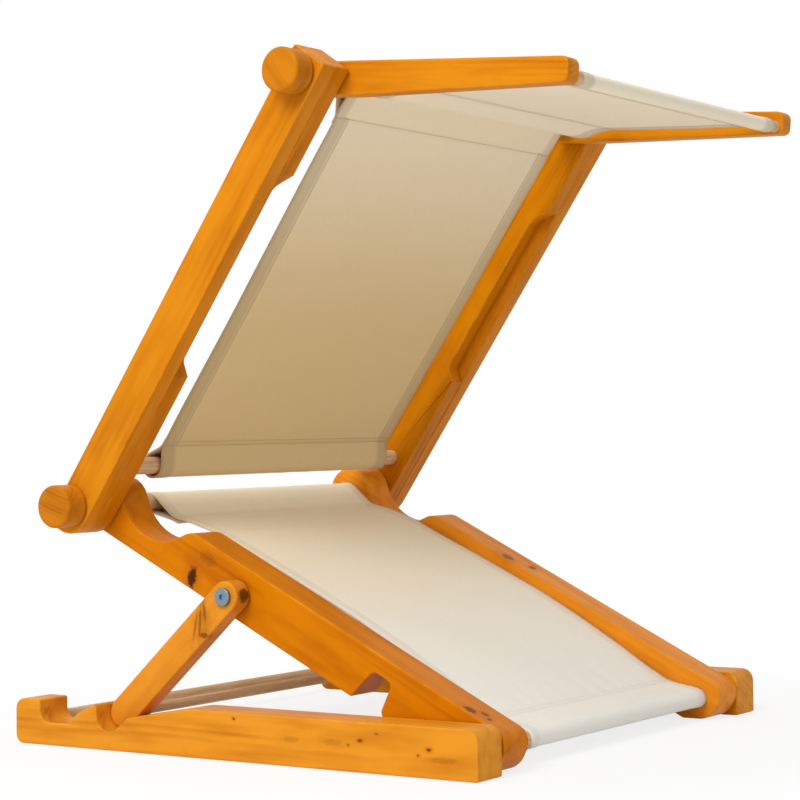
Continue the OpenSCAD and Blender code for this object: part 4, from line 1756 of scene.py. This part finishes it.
@dataclass
class Studio:
    """Plain pale floor, white surroundings and soft lamps."""

    dome: float = 0.6
    floor_grey: float = 0.88
    floor_reach: float = 12.0
    floor_drop: float = 0.0006
    near: float = 0.35
    far: float = 0.9
    near_glow: float = 0.8
    lamps: tuple[Lamp, ...] = (Lamp("key_lamp", (-3.0, -0.3, 2.5), (0.0, 0.0, 0.35), 1.6, 70.0),
                               Lamp("top_lamp", (-0.4, 0.6, 3.2), (0.0, 0.0, 0.3), 2.4, 22.0))

    WHITE: ClassVar[tuple[float, float, float, float]] = (1.0, 1.0, 1.0, 1.0)

    @staticmethod
    def seen_directly(g: Graph) -> Socket:
        """Tells the rays that show the surroundings from those that only light the object.

        Args:
            g: the graph of the world or the floor.

        Returns:
            1 on camera, glossy and transmission rays.
        """
        path = g.node("ShaderNodeLightPath").outputs
        shine = g.add(path["Is Glossy Ray"], path["Is Transmission Ray"])
        return g.add(path["Is Camera Ray"], shine, clamp=True)

    def world(self) -> None:
        """White for the camera and in reflections, a soft dome for the light itself."""
        world = bpy.data.worlds.new("studio")
        bpy.context.scene.world = world
        world.use_nodes = True
        world.node_tree.nodes.clear()
        g = Graph(world.node_tree)
        light, white = (g.node("ShaderNodeBackground", Color=self.WHITE, Strength=strength)
                        for strength in (self.dome, 1.0))
        g.node("ShaderNodeOutputWorld", Surface=g.mix_shaders(self.seen_directly(g), light, white))

    def floor(self) -> None:
        """A large floor that turns pure white away from the lounger and keeps its shadow."""
        far, low = self.floor_reach, -self.floor_drop
        mesh = bpy.data.meshes.new("floor")
        mesh.from_pydata([(-far, -far, low), (far, -far, low), (far, far, low), (-far, far, low)], [],
                         [(0, 1, 2, 3)])
        material = bpy.data.materials.new("studio_floor")
        material.use_nodes = True
        material.node_tree.nodes.clear()
        g = Graph(material.node_tree)
        away = g.length(g.vector("MULTIPLY", g.place(), (1.0, 1.0, 0.0)))
        plain = g.node("ShaderNodeBsdfDiffuse", Color=(*[self.floor_grey] * 3, 1.0))
        glow = g.node("ShaderNodeEmission", Color=self.WHITE, Strength=1.0)
        share = g.multiply(self.seen_directly(g), g.span(away, self.near, self.far, self.near_glow, 1.0))
        g.node("ShaderNodeOutputMaterial", Surface=g.mix_shaders(share, plain, glow))
        mesh.materials.append(material)
        add_object("floor", mesh)

    def build(self) -> None:
        """Builds the world, the floor and the lamps."""
        self.world()
        self.floor()
        for lamp in self.lamps:
            lamp.build()
        bpy.context.scene.view_settings.view_transform = "Standard"


def main() -> None:
    """Builds the lounger's looks and the studio."""
    logging.basicConfig(level=logging.INFO, format="%(message)s")
    PhotoCamera().build()
    layout = Layout.from_joints(frame["joints"])
    WoodenFrame(layout).build()
    Fasteners().build()
    Knobs(layout).build()
    sling_canvas = Canvas("sling_canvas", (248, 233, 202), (247, 245, 236), (0.66, 0.1))
    sling_thread = Thread("sewing_thread", (204, 190, 162))
    Sling(layout).build(sling_canvas.material(), sling_thread.material())
    # The canopy is darker and yellower on the hood as painted shade with warm bounce light, and paler on the
    # flap as painted light and sun bleaching.
    canopy_canvas = Canvas("canopy_canvas", (226, 199, 146), (252, 240, 214), (0.26, 0.68), 0.8)
    tunnel_canvas = Canvas("tunnel_canvas", (247, 232, 200), (252, 240, 214), (0.0, 0.16), 0.6)
    canopy_thread = Thread("canopy_thread", (150, 130, 98))
    Canopy(layout).build(canopy_canvas.material(), tunnel_canvas.material(), canopy_thread.material())
    Studio().build()


if __name__ == "__main__":
    main()
